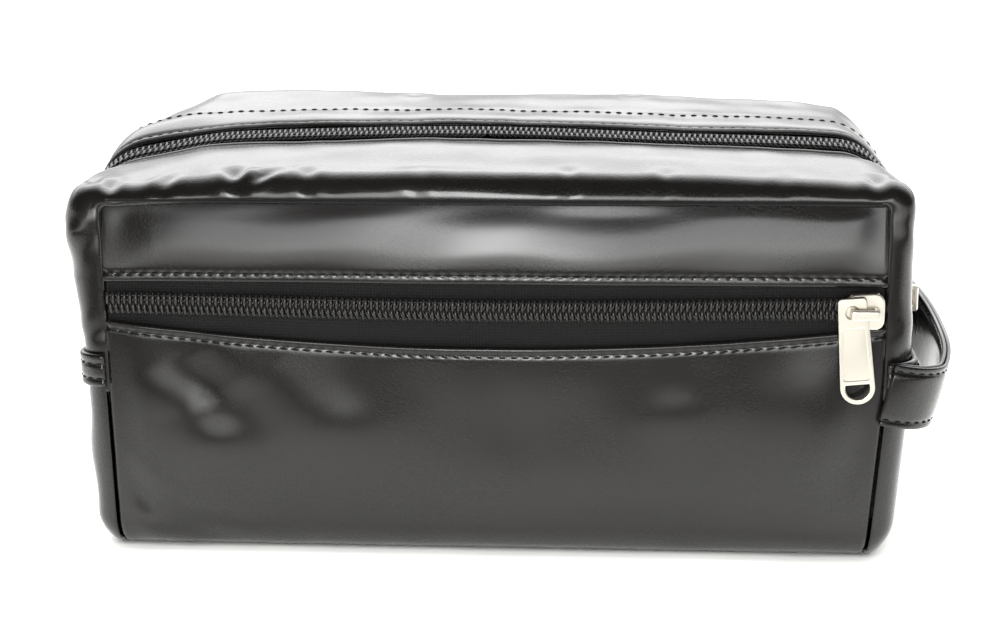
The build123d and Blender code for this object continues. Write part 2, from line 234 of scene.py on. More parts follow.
# A closed sheet: the outer grid, the same grid moved in by the thickness, and half-round edges between
# them. Around each row goes outer side, half circle, inner side, half circle; the two end rows are closed
# straight across. The first rows may belong to the neighbour beyond a join: they only shape the join's
# normals, and are then dropped.
def sheetMesh(name, outer, thickness, sign=1, rim=4, inner=None, drop=0):
    normals = gridNormals(outer, sign)
    if inner is None:
        inner = outer - normals * thickness
    outer, inner, normals = outer[drop:], inner[drop:], normals[drop:]
    count = outer.shape[1]
    turn = np.radians(np.linspace(90, -90, rim + 2)[1:-1])[None, :, None]

    def edge(column, before):
        middle = (outer[:, column] + inner[:, column])[:, None] / 2
        half = (outer[:, column] - inner[:, column])[:, None] / 2
        away = unit(outer[:, column] - outer[:, before])[:, None]
        away = away * np.linalg.norm(half, axis=-1, keepdims=True)
        return middle + half * np.sin(turn) + away * np.cos(turn)

    ring = np.concatenate([outer, edge(-1, -2), inner[:, ::-1], edge(0, 1)[:, ::-1]], axis=1)
    rows, size = ring.shape[:2]
    lengthU, lengthV = (
        np.r_[0, np.cumsum(np.linalg.norm(np.diff(outer, axis=way), axis=-1).mean(axis=1 - way))]
        for way in (0, 1))
    v = np.concatenate([lengthV, np.full(rim, lengthV[-1]), lengthV[::-1], np.zeros(rim)])
    uv = np.stack(np.broadcast_arrays(lengthU[:, None], v[None, :]), axis=-1).reshape(-1, 2)
    polygons = ringFaces(rows, size).tolist()
    last = (rows - 1) * size
    opposite = 2 * count + rim - 1
    for a in range(count - 1):
        polygons.append([a, a + 1, opposite - a - 1, opposite - a])
        polygons.append([last + opposite - a, last + opposite - a - 1, last + a + 1, last + a])
    for cap in (list(range(count - 1, count + rim + 1)), list(range(opposite, size)) + [0]):
        polygons.append(cap)
        polygons.append([last + c for c in reversed(cap)])
    if sign < 0:
        polygons = [polygon[::-1] for polygon in polygons]
    mesh = newMesh(name, ring.reshape(-1, 3), polygons, uv)
    if drop:
        shading = np.empty(len(mesh.vertices) * 3)
        mesh.vertices.foreach_get("normal", shading)
        shading = shading.reshape(-1, 3)
        shading[:count] = normals[0]
        mesh.normals_split_custom_set_from_vertices(shading.tolist())
    return mesh


# A sheet of the bag's own body
def placeSheet(name, grid, thickness, sign, material, node, slot, **form):
    place(name, sheetMesh(name, grid, thickness, sign, **form), material, "bag", [node])


# A round tube along a path: each ring is the path point plus radius times (cosine, sine) in the plane
# across the path
def tube(path, radius, count, axis):
    tangent = unit(np.gradient(path, axis=0))
    across = unit(np.cross(tangent, np.broadcast_to(axis, tangent.shape)))
    up = np.cross(across, tangent)
    turn = np.linspace(0, 2 * math.pi, count, endpoint=False)[:, None]
    ring = path[:, None] + radius * (across[:, None] * np.cos(turn) + up[:, None] * np.sin(turn))
    rows = len(path)
    polygons = ringFaces(rows, count)[:, [0, 3, 2, 1]].tolist()
    polygons += [list(range(count))[::-1], [(rows - 1) * count + c for c in range(count)]]
    return ring.reshape(-1, 3), polygons


# Joins several lists of vertices and faces into one
def gather(shapes):
    vertices, polygons, offset = [], [], 0
    for points, shapePolygons in shapes:
        vertices.append(points)
        polygons += [[offset + c for c in polygon] for polygon in shapePolygons]
        offset += len(points)
    return np.concatenate(vertices), polygons


# Materials: linear colour from an sRGB hex value
def colour(code):
    parts = np.array([int(code[k:k + 2], 16) for k in (1, 3, 5)]) / 255
    linear = np.where(parts <= 0.04045, parts / 12.92, ((parts + 0.055) / 1.055) ** 2.4)
    return (*linear.tolist(), 1.0)


# A shader node with its settings, and its inputs as values or as links from other nodes' outputs
def addNode(tree, kind, inputs=None, **settings):
    node = tree.nodes.new("ShaderNode" + kind)
    for key, value in settings.items():
        setattr(node, key, value)
    for key, value in (inputs or {}).items():
        if isinstance(value, bpy.types.NodeSocket):
            tree.links.new(value, node.inputs[key])
        else:
            node.inputs[key].default_value = value
    return node


def newMaterial(name):
    material = bpy.data.materials.new(name)
    material.use_nodes = True
    tree = material.node_tree
    tree.nodes.clear()
    return material, tree


# Shader and output of a material, whose colour goes from dark to light by a pattern where it has one
def finishMaterial(tree, dark, light=None, pattern=None, **inputs):
    names = {key.replace("_", " "): value for key, value in inputs.items()}
    names["Base Color"] = colour(dark)
    if pattern:
        mix = {"Factor": pattern, 6: colour(dark), 7: colour(light)}
        names["Base Color"] = addNode(tree, "Mix", mix, data_type="RGBA").outputs[2]
    shader = addNode(tree, "BsdfPrincipled", names)
    addNode(tree, "OutputMaterial", {"Surface": shader.outputs[0]})


# Polyurethane-coated leather, embossed with a fine grain and lacquered: near black, a wet shine broken by
# the grain
leatherFinish = {
    "dark": "#080706", "light": "#0f0d0c", "roughness": (0.28, 0.42), "grain": 0.85, "creases": 7.0,
    "cloud": 28.0, "grainDepth": 0.34, "creaseDepth": 0.3, "coat": 0.8, "coatRoughness": 0.16,
}


def leatherMaterial(name, finish):
    material, tree = newMaterial(name)
    at = addNode(tree, "TexCoord").outputs["Object"]
    pores = 1 / (finish["grain"] * mm)
    grain = addNode(tree, "TexVoronoi", {"Vector": at, "Scale": pores, "Randomness": 1.0})
    fine, lines, cloud = (
        addNode(tree, "TexNoise", {"Vector": at, "Scale": scale, "Detail": detail}).outputs["Fac"]
        for scale, detail in (
            (2 * pores, 2.0), (1 / (finish["creases"] * mm), 4.0), (1 / (finish["cloud"] * mm), 3.0)))
    height = addNode(tree, "Math", {0: grain.outputs["Distance"], 1: fine}, operation="MULTIPLY")
    bumpFine = addNode(tree, "Bump", {
        "Strength": 0.55, "Distance": finish["grainDepth"] * mm, "Height": height.outputs[0]})
    bumpWide = addNode(tree, "Bump", {
        "Strength": 0.5, "Distance": finish["creaseDepth"] * mm, "Height": lines,
        "Normal": bumpFine.outputs["Normal"]})
    low, high = finish["roughness"]
    shine = addNode(tree, "MapRange", {
        "Value": cloud, "From Min": 0.3, "From Max": 0.7, "To Min": low, "To Max": high})
    finishMaterial(
        tree, finish["dark"], finish["light"], cloud, Roughness=shine.outputs[0], IOR=1.5,
        Specular_IOR_Level=0.1, Normal=bumpWide.outputs["Normal"], Coat_Weight=finish["coat"],
        Coat_Roughness=finish["coatRoughness"], Coat_IOR=1.5)
    return material


# Woven polyester: threads over and under each other, matt, with a faint sheen; the thread spacing is a real
# one
def wovenMaterial(name, dark, light, spacing, sheen, roughness=0.8):
    material, tree = newMaterial(name)
    at = addNode(tree, "UVMap", uv_map="length").outputs["UV"]
    scale = 2 * math.pi / (spacing * mm) / 20  # a wave texture repeats every 2 pi / 20 of its scaled input
    along, across = (
        addNode(tree, "TexWave", {"Vector": at, "Scale": scale}, bands_direction=way).outputs["Fac"]
        for way in "XY")
    weave = addNode(tree, "Math", {0: along, 1: across}, operation="MULTIPLY").outputs[0]
    relief = addNode(tree, "Bump", {"Strength": 0.8, "Distance": 0.12 * mm, "Height": weave})
    finishMaterial(
        tree, dark, light, weave, Roughness=roughness, IOR=1.5, Normal=relief.outputs["Normal"],
        Specular_IOR_Level=0.3, Sheen_Weight=sheen, Sheen_Roughness=0.5)
    return material


# Nylon monofilament, drawn smooth and black, has a soft shine; spun polyester thread is matt
def nylonMaterial(name, dark, light, roughness, streak):
    material, tree = newMaterial(name)
    at = addNode(tree, "TexCoord").outputs["Object"]
    scale = 1 / (streak * mm)
    noise = addNode(tree, "TexNoise", {"Vector": at, "Scale": scale, "Detail": 3.0}).outputs["Fac"]
    relief = addNode(tree, "Bump", {"Strength": 0.3, "Distance": 0.03 * mm, "Height": noise})
    finishMaterial(
        tree, dark, light, noise, Roughness=roughness, IOR=1.53, Normal=relief.outputs["Normal"])
    return material


# Nickel-plated zinc die casting: warm pale metal, tumbled to a satin shine, duller in patches where fingers
# rub it
def platedMaterial(name, light, dark):
    material, tree = newMaterial(name)
    at = addNode(tree, "TexCoord").outputs["Object"]
    cloud = addNode(tree, "TexNoise", {"Vector": at, "Scale": 1 / (8.0 * mm), "Detail": 0.0}).outputs["Fac"]
    shine = addNode(tree, "MapRange", {
        "Value": cloud, "From Min": 0.2, "From Max": 0.8, "To Min": 0.28, "To Max": 0.36})
    finishMaterial(tree, light, dark, cloud, Metallic=1.0, Roughness=shine.outputs[0])
    return material


leather = leatherMaterial("coatedLeather", leatherFinish)
strapLeather = leatherMaterial("coatedLeatherStrap", {**leatherFinish, "creases": 11.0, "creaseDepth": 0.15})
tapeCloth = wovenMaterial("wovenPolyesterTape", "#040404", "#141313", 0.9, 0.05)
liningCloth = wovenMaterial("wovenPolyesterLining", "#151516", "#3a3a3d", 0.5, 0.4, 0.55)
bindingCloth = wovenMaterial("wovenBindingTape", "#060606", "#151414", 0.8, 0.1)
coilNylon = nylonMaterial("nylonMonofilament", "#0e0d0d", "#1f1d1c", 0.28, 3.0)
thread = nylonMaterial("polyesterThread", "#050505", "#0c0b0b", 0.85, 0.3)
plated = platedMaterial("nickelPlatedZinc", "#ece6da", "#e2dccf")
print("materials made")

# Lines that the bag's form hangs on
fall = math.atan2(bag["crownFall"], endHalf - bag["crownHalf"])
shoulder = np.array([
    endHalf - bag["shoulderRadius"],
    crown - bag["crownFall"] - bag["shoulderRadius"] * math.tan((math.pi / 2 - fall) / 2),
])
lineCounts = {"top": 128, "shoulder": 32, "end": 56}
seamCorner = 2.5  # radius of the seam where the side seam meets the top seam
rollCorner = {-1: 6.0, 1: 10.0}  # radius of the front and rear rolls where they go over the shoulder
rollSize = {-1: 5.6, 1: 4.0}  # radius of the front and rear rolls along the top
join = 3  # points past the middle, where the two halves of the top meet


# Half of the main zip's line, from the middle of the top to the foot of an end, the lines where the front
# and the rear roll start, and the seam line: all in X and Z, with the same number of points. The top falls
# as a parabola that runs smoothly into the shoulder's circle.
def zipAndSeam():
    radius = bag["shoulderRadius"]
    start = shoulder + radius * np.array([math.sin(fall), math.cos(fall)])
    reach = 2 * (crown - start[1]) / math.tan(fall)
    x = np.linspace(0, start[0], lineCounts["top"])
    drop = (crown - start[1]) * (np.maximum(x - (start[0] - reach), 0) / reach) ** 2
    top = np.stack([x, crown - drop], axis=1)
    bend = arcPoints(shoulder, radius, 90 - math.degrees(fall), 0, lineCounts["shoulder"])
    foot = resample([bend[-1], (endHalf, bandLow)], lineCounts["end"])
    zipLine = np.concatenate([top, bend[1:], foot[1:]])
    topSeam = np.stack([x * shoulder[0] / start[0], np.full(len(x), seamHeight)], axis=1)
    corner = arcPoints((seamHalf - seamCorner, seamHeight - seamCorner), seamCorner, 90, 0, 9)
    bendSeam = resample([topSeam[-1], *corner, (seamHalf, shoulder[1])], lineCounts["shoulder"])
    footSeam = np.stack([np.full(len(foot), seamHalf), foot[:, 1]], axis=1)
    seamLine = np.concatenate([topSeam, bendSeam[1:], footSeam[1:]])
    rollX, rollZ = endHalf - endBow, start[1] - 0.4
    rolls = []
    for radius in rollCorner.values():
        corner = arcPoints((rollX - radius, rollZ - radius), radius, 90, 0, 12)
        bendRoll = resample([start, *corner, (rollX, shoulder[1] - 3)], lineCounts["shoulder"])
        footRoll = resample([bendRoll[-1], (rollX, bandLow)], len(foot))
        rolls.append(np.concatenate([top, bendRoll[1:], footRoll[1:]]))
    return [np.concatenate([line[join:0:-1] * [-1, 1], line]) for line in (zipLine, *rolls, seamLine)]


settled = {
    "lean": 4.5,  # the top leans to the left, most in the middle of the bag's depth
    "leftLean": 3.0,  # its left end leans this much more
    "leftFall": 5.0,  # how much lower the top is at its left end
    "forward": 3.0,  # the zip wanders forward right of the middle
    "backward": 1.0,  # and back a little at the middle
}


# Where a point of the soft top comes to rest
def settle(points):
    x, y, z = points[..., 0], points[..., 1], points[..., 2]
    middle = 1 - np.clip(np.abs(y) / halfDepth, 0, 1) ** 2
    lean = (settled["lean"] + settled["leftLean"] * smooth((-x - 85) / 30)) * middle
    lean *= smooth((z - bag["bandHigh"]) / 42)
    lean *= 1 - smooth((x - 98) / 10) * smooth((104 - z) / 12) * bell(y, 26)  # the slider's way is straight
    fallen = settled["leftFall"] * smooth((-x - 75) / 45) * smooth((z - 75) / 25)
    fallen *= (0.4 + 0.6 * middle) * (1 - smooth(y / 20))
    wander = settled["forward"] * bell(x - 55, 34) - settled["backward"] * bell(x + 5, 25)
    wander *= smooth((z - 90) / 15) * bell(y, 22)
    tilt = (1.3 - 0.22 * y) * bell(y, 14) * smooth((z - 96) / 12)
    return points - np.stack([lean, wander, fallen + tilt + 0.12 * wander], axis=-1)


# Height of the front chain's middle: it hangs down between its ends, and runs level beside them
def chainAt(x):
    return bag["zipHeight"] - bag["zipSag"] * (1 - (x / seamHalf) ** 2) ** 2


zipLine, frontRollLine, rearRollLine, seamLine = zipAndSeam()
zipAlong = lengths(zipLine)
zipAlong -= zipAlong[join]
pastTop = np.arange(len(zipLine)) - join - lineCounts["top"] * 0.93
atShoulder = smooth(pastTop / (lineCounts["shoulder"] * 1.1))
print("zip line", round(float(zipAlong[-1]), 1), "mm each way")


rollLift = {  # how far the front roll and its ends, and the rear roll and its parts, stand above the zip's height
    "front": -2.0, "frontEnds": 0.4, "rear": 0.6, "rearLeft": 3.0, "rearRight": -1.5, "rightEnd": -5.0,
    "leftEnd": -7.0,
}


# The top slopes down from the rear to the front, most at the left: each roll's line, lifted above the zip's
# height
def rollLine(side, facing):
    line = (frontRollLine if facing < 0 else rearRollLine).copy()
    x = side * line[:, 0]
    if facing < 0:
        lift = (rollLift["front"] + rollLift["frontEnds"] * smooth(np.abs(x) / 105)) * (1 - 0.85 * atShoulder)
    else:
        lift = rollLift["rear"] + rollLift["rearLeft"] * smooth((-x - 15) / 70)
        lift += rollLift["rearRight"] * smooth((x - 84) / 30) + rollLift["rightEnd"] * smooth((x - 101) / 13)
        lift += rollLift["leftEnd"] * smooth((-x - 92) / 20)
        lift *= smooth((line[:, 1] - 60) / 35)
    line[:, 1] += lift
    return line


# A place on the zip line: X and Z, and the outward direction
def onZipLine(distance):
    tangent = unit(readAt(distance, zipAlong, unit(np.gradient(zipLine, axis=0))))
    return readAt(distance, zipAlong, zipLine), np.stack([-tangent[..., 1], tangent[..., 0]], axis=-1)


# Each stitch of a row is a short thread, and the leather dips at the needle holes between them
stitch = {
    "pitch": 3.2, "length": 2.3, "wire": 0.3, "lift": 0.08, "inset": 1.9, "holeDepth": 0.4, "holeWidth": 0.45,
}


# Depth of the holes: along is the share of the row, across the distance from it; the cosine is squared over
# and over to leave narrow dips
def needleHoles(along, length, across):
    count = int(length / stitch["pitch"])
    return stitch["holeDepth"] * np.cos(math.pi * along * count) ** 10 * bell(across, stitch["holeWidth"])


# Top strips, which run on down the ends beside the main zip
topStrip = {
    "nearEdge": [0, 0.4, 0.8, 1.2, 1.6, 2.0, 2.4, 2.8, 3.2, 3.7, 4.3, 5.0, 6.0, 7.2, 8.6],  # rows by the zip
    "rowStep": 1.35,
    "rollSteps": 15,
    "stitchInset": 2.6,
    "secondRow": 18.0,  # the rear strip's second row of stitches
    "pillow": {-1: 0.35, 1: 0.6},
    "groove": {-1: 0.7, 1: 0.4},
    "fold": 0.35,  # the folded edge beside the zip stands this much higher
    "secondGroove": 0.12,
    "ripple": {-1: 0.3, 1: 0.15},
    "fineRipple": 0.08,
    "edgeWave": 0.7,
    "short": 0.3,  # a strip ends this far before the seam line, and the panel below it one tuck before it
}


# How far each place on a strip is moved outwards: soft swelling between the stitches and the seam, the
# folded edge, the stitches' channels and ripples
def stripRelief(points, across, facing):
    flat = halfDepth - rollSize[facing] - windowHalf
    relief = topStrip["pillow"][facing] * np.sin(math.pi * np.clip(across / flat, 0, 1)) ** 0.7
    relief -= topStrip["groove"][facing] * bell(across - topStrip["stitchInset"], 0.8)
    relief += topStrip["fold"] * bell(across - 1.1, 0.7)
    if facing > 0:
        relief -= topStrip["secondGroove"] * bell(across - topStrip["secondRow"], 0.8)
    seed = {-1: 3, 1: 5}[facing]
    relief += topStrip["ripple"][facing] * ripple(points, 42, seed)
    return relief + topStrip["fineRipple"] * ripple(points, 13, 7)


# What the photograph shows along the rolls and at the corners
stripCreases = {  # start, end, width, depth
    -1: [
        ((-68, -57, 104), (-71, -49, 112), 2.2, 1.5), ((-66, -56, 108), (-58, -50, 112), 1.8, 0.9),
        ((-49, -57, 104), (-50, -50, 112), 2.0, 0.8), ((-20, -57, 104), (-19, -52, 111), 2.0, 0.3),
        ((22, -57, 104), (21, -49, 112), 1.8, 0.5), ((46, -57, 104), (48, -50, 112), 1.8, 0.4),
        ((78, -57, 104), (80, -51, 112), 2.0, 0.2), ((-90, -57, 104), (-88, -50, 111), 2.0, 0.6),
        ((-108, -56, 103), (-112, -42, 105), 2.2, 1.4), ((-108, -56, 101), (-116, -47, 92), 2.4, 1.3),
        ((-107, -57, 98), (-113, -51, 84), 2.2, 1.1), ((-104, -57, 105), (-106, -46, 110), 2.0, 1.2),
        ((108, -56, 103), (112, -43, 105), 2.2, 0.9), ((108, -56, 100), (115, -46, 90), 2.4, 0.7),
        ((104, -57, 105), (104, -47, 110), 2.0, 1.0), ((107, -57, 72), (113, -50, 66), 2.4, 0.7),
        ((108, -56, 67), (116, -40, 62), 2.2, 0.6), ((-107, -57, 68), (-113, -50, 62), 2.2, 1.0),
    ],
    1: [((-30, 57, 104), (-32, 49, 112), 2.2, 0.7), ((35, 57, 104), (38, 50, 112), 2.0, 0.6)],
}
stripBumps = [  # middle, radii, height
    ((-115, -53, 95), (8, 9, 6), 1.7), ((-108, -57, 99), (4, 5, 3), 0.8), ((111, -56, 96), (3, 5, 10), 1.0),
    ((114, -50, 84), (8, 10, 14), 0.4), ((-116, -48, 80), (8, 12, 12), 1.0), ((112, -55, 68), (5, 8, 4), 0.6),
]


# A strip's outer surface. Across it, a point goes from the zip line to the roll's line by a power curve,
# then round a quarter ellipse down to the seam line; along it, it follows those lines.
def stripGrid(side, facing, first=0.0, last=90.0, plain=False):
    near = np.array(topStrip["nearEdge"])
    flatMost = halfDepth - cornerRoll - windowHalf
    far = np.arange(near[-1] + topStrip["rowStep"], flatMost - 0.5, topStrip["rowStep"])
    across = np.r_[near, far, flatMost]
    share = across[across >= first] / flatMost
    turn = np.radians(np.linspace(0, last, topStrip["rollSteps"])[1:])
    roll = rollLine(side, facing)
    reach = seamLine - roll
    deep = np.linalg.norm(reach, axis=1)[:, None, None]
    reach = reach[:, None] * (1 - topStrip["short"] / deep)
    rollY = (rollSize[facing] + (cornerRoll - rollSize[facing]) * atShoulder)[:, None]
    flatEnd = halfDepth - rollY
    y = windowHalf + share[None] * (flatEnd - windowHalf)
    flat = zipLine[:, None] + (roll - zipLine)[:, None] * ((y / flatEnd) ** 1.5)[..., None]
    y = np.concatenate([y, flatEnd + rollY * np.sin(turn)[None]], axis=1)
    xz = np.concatenate([flat, roll[:, None] + reach * (1 - np.cos(turn))[None, :, None]], axis=1)
    grid = settle(gridOf(side * xz[..., 0], facing * y, xz[..., 1]))
    normals = gridNormals(grid, side * facing)
    if plain:
        return grid, normals
    distance = np.broadcast_to(np.r_[share * flatMost, flatMost + np.degrees(turn) / 9][None], grid.shape[:2])
    fade = 1 - smooth((distance - flatMost - 5) / 5)  # no relief at the seam itself
    relief = stripRelief(grid, distance, facing) * fade
    for centre, radii, height in stripBumps:
        relief += bump(grid, centre, radii, height) * (0.3 + 0.7 * fade)
    for start, end, width, depth in stripCreases[facing]:
        relief += crease(grid, start, end, width, depth) * (0.35 + 0.65 * fade)
    low = smooth((grid[..., 2] - bandLow) / 12)  # the band holds the strip flat
    grid = grid + normals * (relief * (0.3 + 0.7 * low))[..., None]
    seed = {-1: 11, 1: 12}[facing]
    wave = topStrip["edgeWave"] * ripple(grid * [1, 0, 1], 38, seed) * np.exp(-distance / 12)
    grid[..., 1] += facing * wave * low * (1 - 0.8 * smooth((grid[..., 0] - 98) / 10))
    return grid, normals


# The top's pieces are made in four: the front and the rear face, each with a left and a right side
halves = [
    (face, facing, sideName, side) for face, facing in faces.items() for sideName, side in sides.items()]


# A piece of the top, for one face and one side, with its transform baked into its mesh and fixed to no body
def placeHalf(kind, half, mesh, material, nodes=()):
    face, _, sideName, side = half
    piece = place(nameOf(kind, half), mesh, material, None, nodes)
    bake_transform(piece)


def nameOf(kind, half):
    return f"{kind}{half[0].capitalize()}{half[2]}"


stripSurfaces = {}
for half in halves:
    face, facing, sideName, side = half
    grid, _ = stripGrid(side, facing)
    stripSurfaces[face, sideName] = grid[join:]
    outer = tuckEdge(grid, 1, True, side * facing)
    mesh = sheetMesh(nameOf("topStrip", half), outer, leatherThick, side * facing, drop=join)
    placeHalf("topStrip", half, mesh, leather, (
        f"top_{face}_strip", f"{sideName.lower()}_gusset_{face}"))
print("top strips made")

# Front upper panel
upperPanel = {"swell": 0.4, "lean": 2.3, "groove": 0.12, "ripple": 0.22, "step": 0.64}


# A flat grid behind the front's plane that swells as half a sine wave and leans back by a power curve, with
# a groove and needle holes along the stitches
def upperPanelGrid():
    xHalf = seamHalf - tuck
    low, high = bag["windowTop"] + leatherThick / 2, seamHeight - tuck
    x = np.linspace(-xHalf, xHalf, int(2 * xHalf / upperPanel["step"]))
    z = np.r_[np.arange(low, low + 5, 0.4), np.arange(low + 5, high, 1.0), high]
    gx, gz = np.meshgrid(x, z, indexing="ij")
    grid = gridOf(gx, -halfDepth, gz)
    up = gz - low
    side = xHalf - np.abs(gx)
    swell = upperPanel["swell"] * np.sin(math.pi * np.clip(up / (high - low), 0, 1)) * smooth(side / 14)
    swell -= upperPanel["groove"] * bell(up - stitch["inset"], 0.9)
    swell -= upperPanel["lean"] * (up / (high - low)) ** 1.5
    swell -= needleHoles((gx + xHalf) / (2 * xHalf), 2 * xHalf, up - stitch["inset"])
    swell += smooth(side / 8) * smooth((high - gz) / 4) * upperPanel["ripple"] * ripple(grid, 40, 21)
    grid[..., 1] -= swell
    return grid


upperSurface = upperPanelGrid()
placeSheet(
    "frontUpperPanel", tuckPanel(upperSurface), leatherThick, 1, leather, "front_upper_panel", "leather")
print("upper panel made")

# Body wrap: pocket front, base and back in one
bodyWrap = {"step": 0.8, "stitchInset": 2.2, "belly": 0.7, "groove": 0.12, "ripple": 0.25, "fineRipple": 0.09}


# Middle of the bag to a side seam at a height: full above the band, then drawn in to the base
def seamAt(z, side):
    narrow = np.where(side < 0, bag["narrowing"][-1], bag["narrowing"][1])
    return seamHalf - narrow * np.clip((bandLow - z) / bandLow, 0, 1)


wrapCreases = [
    ((-106, -57, 24), (-92, -57, 10), 3.5, 0.7), ((-92, -57, 10), (-76, -57, 5), 3.5, 0.6),
    ((-84, -57, 60), (-79, -57, 44), 6.0, 0.9), ((-72, -57, 52), (-62, -57, 34), 7.0, 0.6),
    ((99, -57, 34), (92, -57, 14), 5.0, 0.5),
]
wrapBumps = [
    ((-96, -57, 44), (13, 9, 15), 0.9), ((-78, -57, 30), (16, 9, 9), 0.7), ((-44, -57, 38), (20, 9, 11), 1.0),
    ((50, -57, 43), (12, 9, 8), 0.6), ((20, -57, 22), (36, 9, 10), 0.4), ((86, -57, 38), (16, 9, 15), 1.0),
    ((0, -57, 42), (24, 9, 12), -0.6),
]


# The wrap is a profile carried along X: down the pocket's front from its sagging upper edge, round the base
# and up the back. A parabola sags the edge, each point is swollen outwards, and the width follows the side
# seams.
def wrapGrid():
    radius = bag["baseRound"]
    xShare = np.linspace(-1, 1, int(2 * seamHalf / bodyWrap["step"]))
    edge = bag["pocketEdgeMid"] + (bag["pocketEdgeEnd"] - bag["pocketEdgeMid"]) * xShare ** 2
    near = np.arange(0, 5.2, 0.4)
    front = np.linspace(0, 1, 36)[1:]
    top = edge[:, None] - leatherThick / 2
    frontZ = np.concatenate([top - near, (top - near[-1]) + (radius - top + near[-1]) * front], axis=1)
    lower = arcPoints((-(halfDepth - radius), radius), radius, 180, 270, 15)[1:]
    base = resample([lower[-1], (halfDepth - radius, 0)], 60)[1:]
    rear = arcPoints((halfDepth - radius, radius), radius, 270, 360, 15)[1:]
    back = resample([rear[-1], (halfDepth, seamHeight - tuck)], 70)[1:]
    rest = np.concatenate([lower, base, rear, back])
    y = np.r_[np.full(frontZ.shape[1], -halfDepth), rest[:, 0]][None]
    z = np.concatenate([frontZ, rest[:, 1][None].repeat(len(xShare), axis=0)], axis=1)
    width = seamAt(z, xShare[:, None]) - tuck
    x = xShare[:, None] * width
    grid = gridOf(x, y, z)
    normals = gridNormals(grid, -1)
    side = width - np.abs(x)
    upright = np.sin(math.pi * np.clip(z / 66, 0, 1)) * smooth((-y - 30) / 20)
    upright += np.sin(math.pi * np.clip(z / 103, 0, 1)) * smooth((y - 30) / 20)
    relief = bodyWrap["belly"] * upright * smooth(side / 16)
    down = edge[:, None] - z - bodyWrap["stitchInset"]
    relief -= bodyWrap["groove"] * bell(down, 0.9) * (y < -50)
    relief -= needleHoles((xShare[:, None] + 1) / 2, 2 * (seamHalf - tuck), down) * (y < -50)
    soft = smooth(side / 10) * smooth((seamHeight - tuck - z) / 6) * smooth(z / 8)
    wide, fine = bodyWrap["ripple"] * ripple(grid, 55, 31), bodyWrap["fineRipple"] * ripple(grid, 22, 32)
    relief += soft * (wide + fine)
    for centre, radii, height in wrapBumps:
        relief += bump(grid, centre, radii, height) * soft
    for start, end, wide, depth in wrapCreases:
        relief += crease(grid, start, end, wide, depth) * (y < -30) * smooth(side / 5)
    relief = np.where(z < 3, np.minimum(relief, 0), relief)  # the base stays on the floor
    return grid + normals * relief[..., None]


wrapSurface = wrapGrid()
grid = tuckPanel(wrapSurface, -1)
grid[..., 2] = np.maximum(grid[..., 2], 0.0)
placeSheet("bodyWrap", grid, leatherThick, -1, leather, "body_wrap", "leather")
print("body wrap made")

# Lower end panels
endPanel = {"top": 4.0, "swell": 0.8, "ripple": 0.45}


# How far out an end stands at a place: drawn in towards the base and bowed by a parabola
def endAt(y, z, side):
    narrow = bag["narrowing"][side] * np.clip((bandLow - z) / bandLow, 0, 1)
    bow = endBow * (1 - np.clip(np.abs(y) / (halfDepth - cornerRoll), 0, 1) ** 2)
    return endHalf - endBow - narrow + bow


# A square grid is pressed into the end's rounded outline, and X rises from the seam as a quarter ellipse of
# the distance to the outline, with the roll's width going from that of the upright edges to that of the
# base
def endGrid(side, top):
    radius, upright, foot = bag["baseRound"], cornerRoll, bag["baseCorner"]
    edgeTurn = 1 - np.cos(quarter(13))
    fromFront = upright * edgeTurn
    half = np.r_[fromFront, np.linspace(fromFront[-1], halfDepth, 40)[1:]]
    y = np.r_[-halfDepth + half, (halfDepth - half)[::-1][1:]]
    z = np.r_[foot * edgeTurn, np.linspace(foot, top, 32)[1:]]
    gy, gz = np.meshgrid(y, z, indexing="ij")
    p = np.maximum(np.abs(gy) - (halfDepth - radius), 0) / radius
    q = np.maximum(radius - gz, 0) / radius
    pp, qq = p * np.sqrt(1 - q ** 2 / 2), q * np.sqrt(1 - p ** 2 / 2)
    yy = np.where(p > 0, np.sign(gy) * (halfDepth - radius + radius * pp), gy)
    zz = np.where(q > 0, radius - radius * qq, gz)
    distance = np.where((p > 0) | (q > 0), radius - radius * np.hypot(pp, qq), radius)
    distance = np.where((p > 0) & (q <= 0), halfDepth - np.abs(yy), distance)
    angle = np.arctan2(qq, np.maximum(pp, 1e-6)) / (math.pi / 2)
    roll = upright + (foot - upright) * smooth(angle)
    roll = np.where((p <= 0) & (q > 0), foot, np.where(q <= 0, upright, roll))
    rise = np.sqrt(np.maximum(1 - (1 - np.clip(distance / roll, 0, 1)) ** 2, 0))
    seamX = seamAt(zz, side) + 0.5
    x = seamX + (endAt(yy, zz, side) - seamX) * rise
    return gridOf(side * x, yy, zz), distance


for sideName, side in sides.items():
    grid, distance = endGrid(side, bandLow + endPanel["top"])
    normals = gridNormals(grid, side)
    relief = endPanel["swell"] * np.sin(math.pi * np.clip(grid[..., 2] / 52, 0, 1))
    relief = smooth(distance / 9) * (relief + endPanel["ripple"] * ripple(grid, 26, 41 + side))
    relief *= smooth((bandLow + 2 - grid[..., 2]) / 8)
    grid = grid + normals * relief[..., None]
    grid[..., 2] = np.maximum(grid[..., 2], 0.0)
    placeSheet(
        f"endPanel{sideName}", grid, leatherThick, side, leather, f"{sideName.lower()}_end_panel", "leather")
print("end panels made")

# Folded bands across the ends
endBand = {"lift": 1.9, "cornerRise": 2.6, "rows": (1.6, 6.0), "groove": 0.4, "ripple": 0.3, "thickness": 1.6}


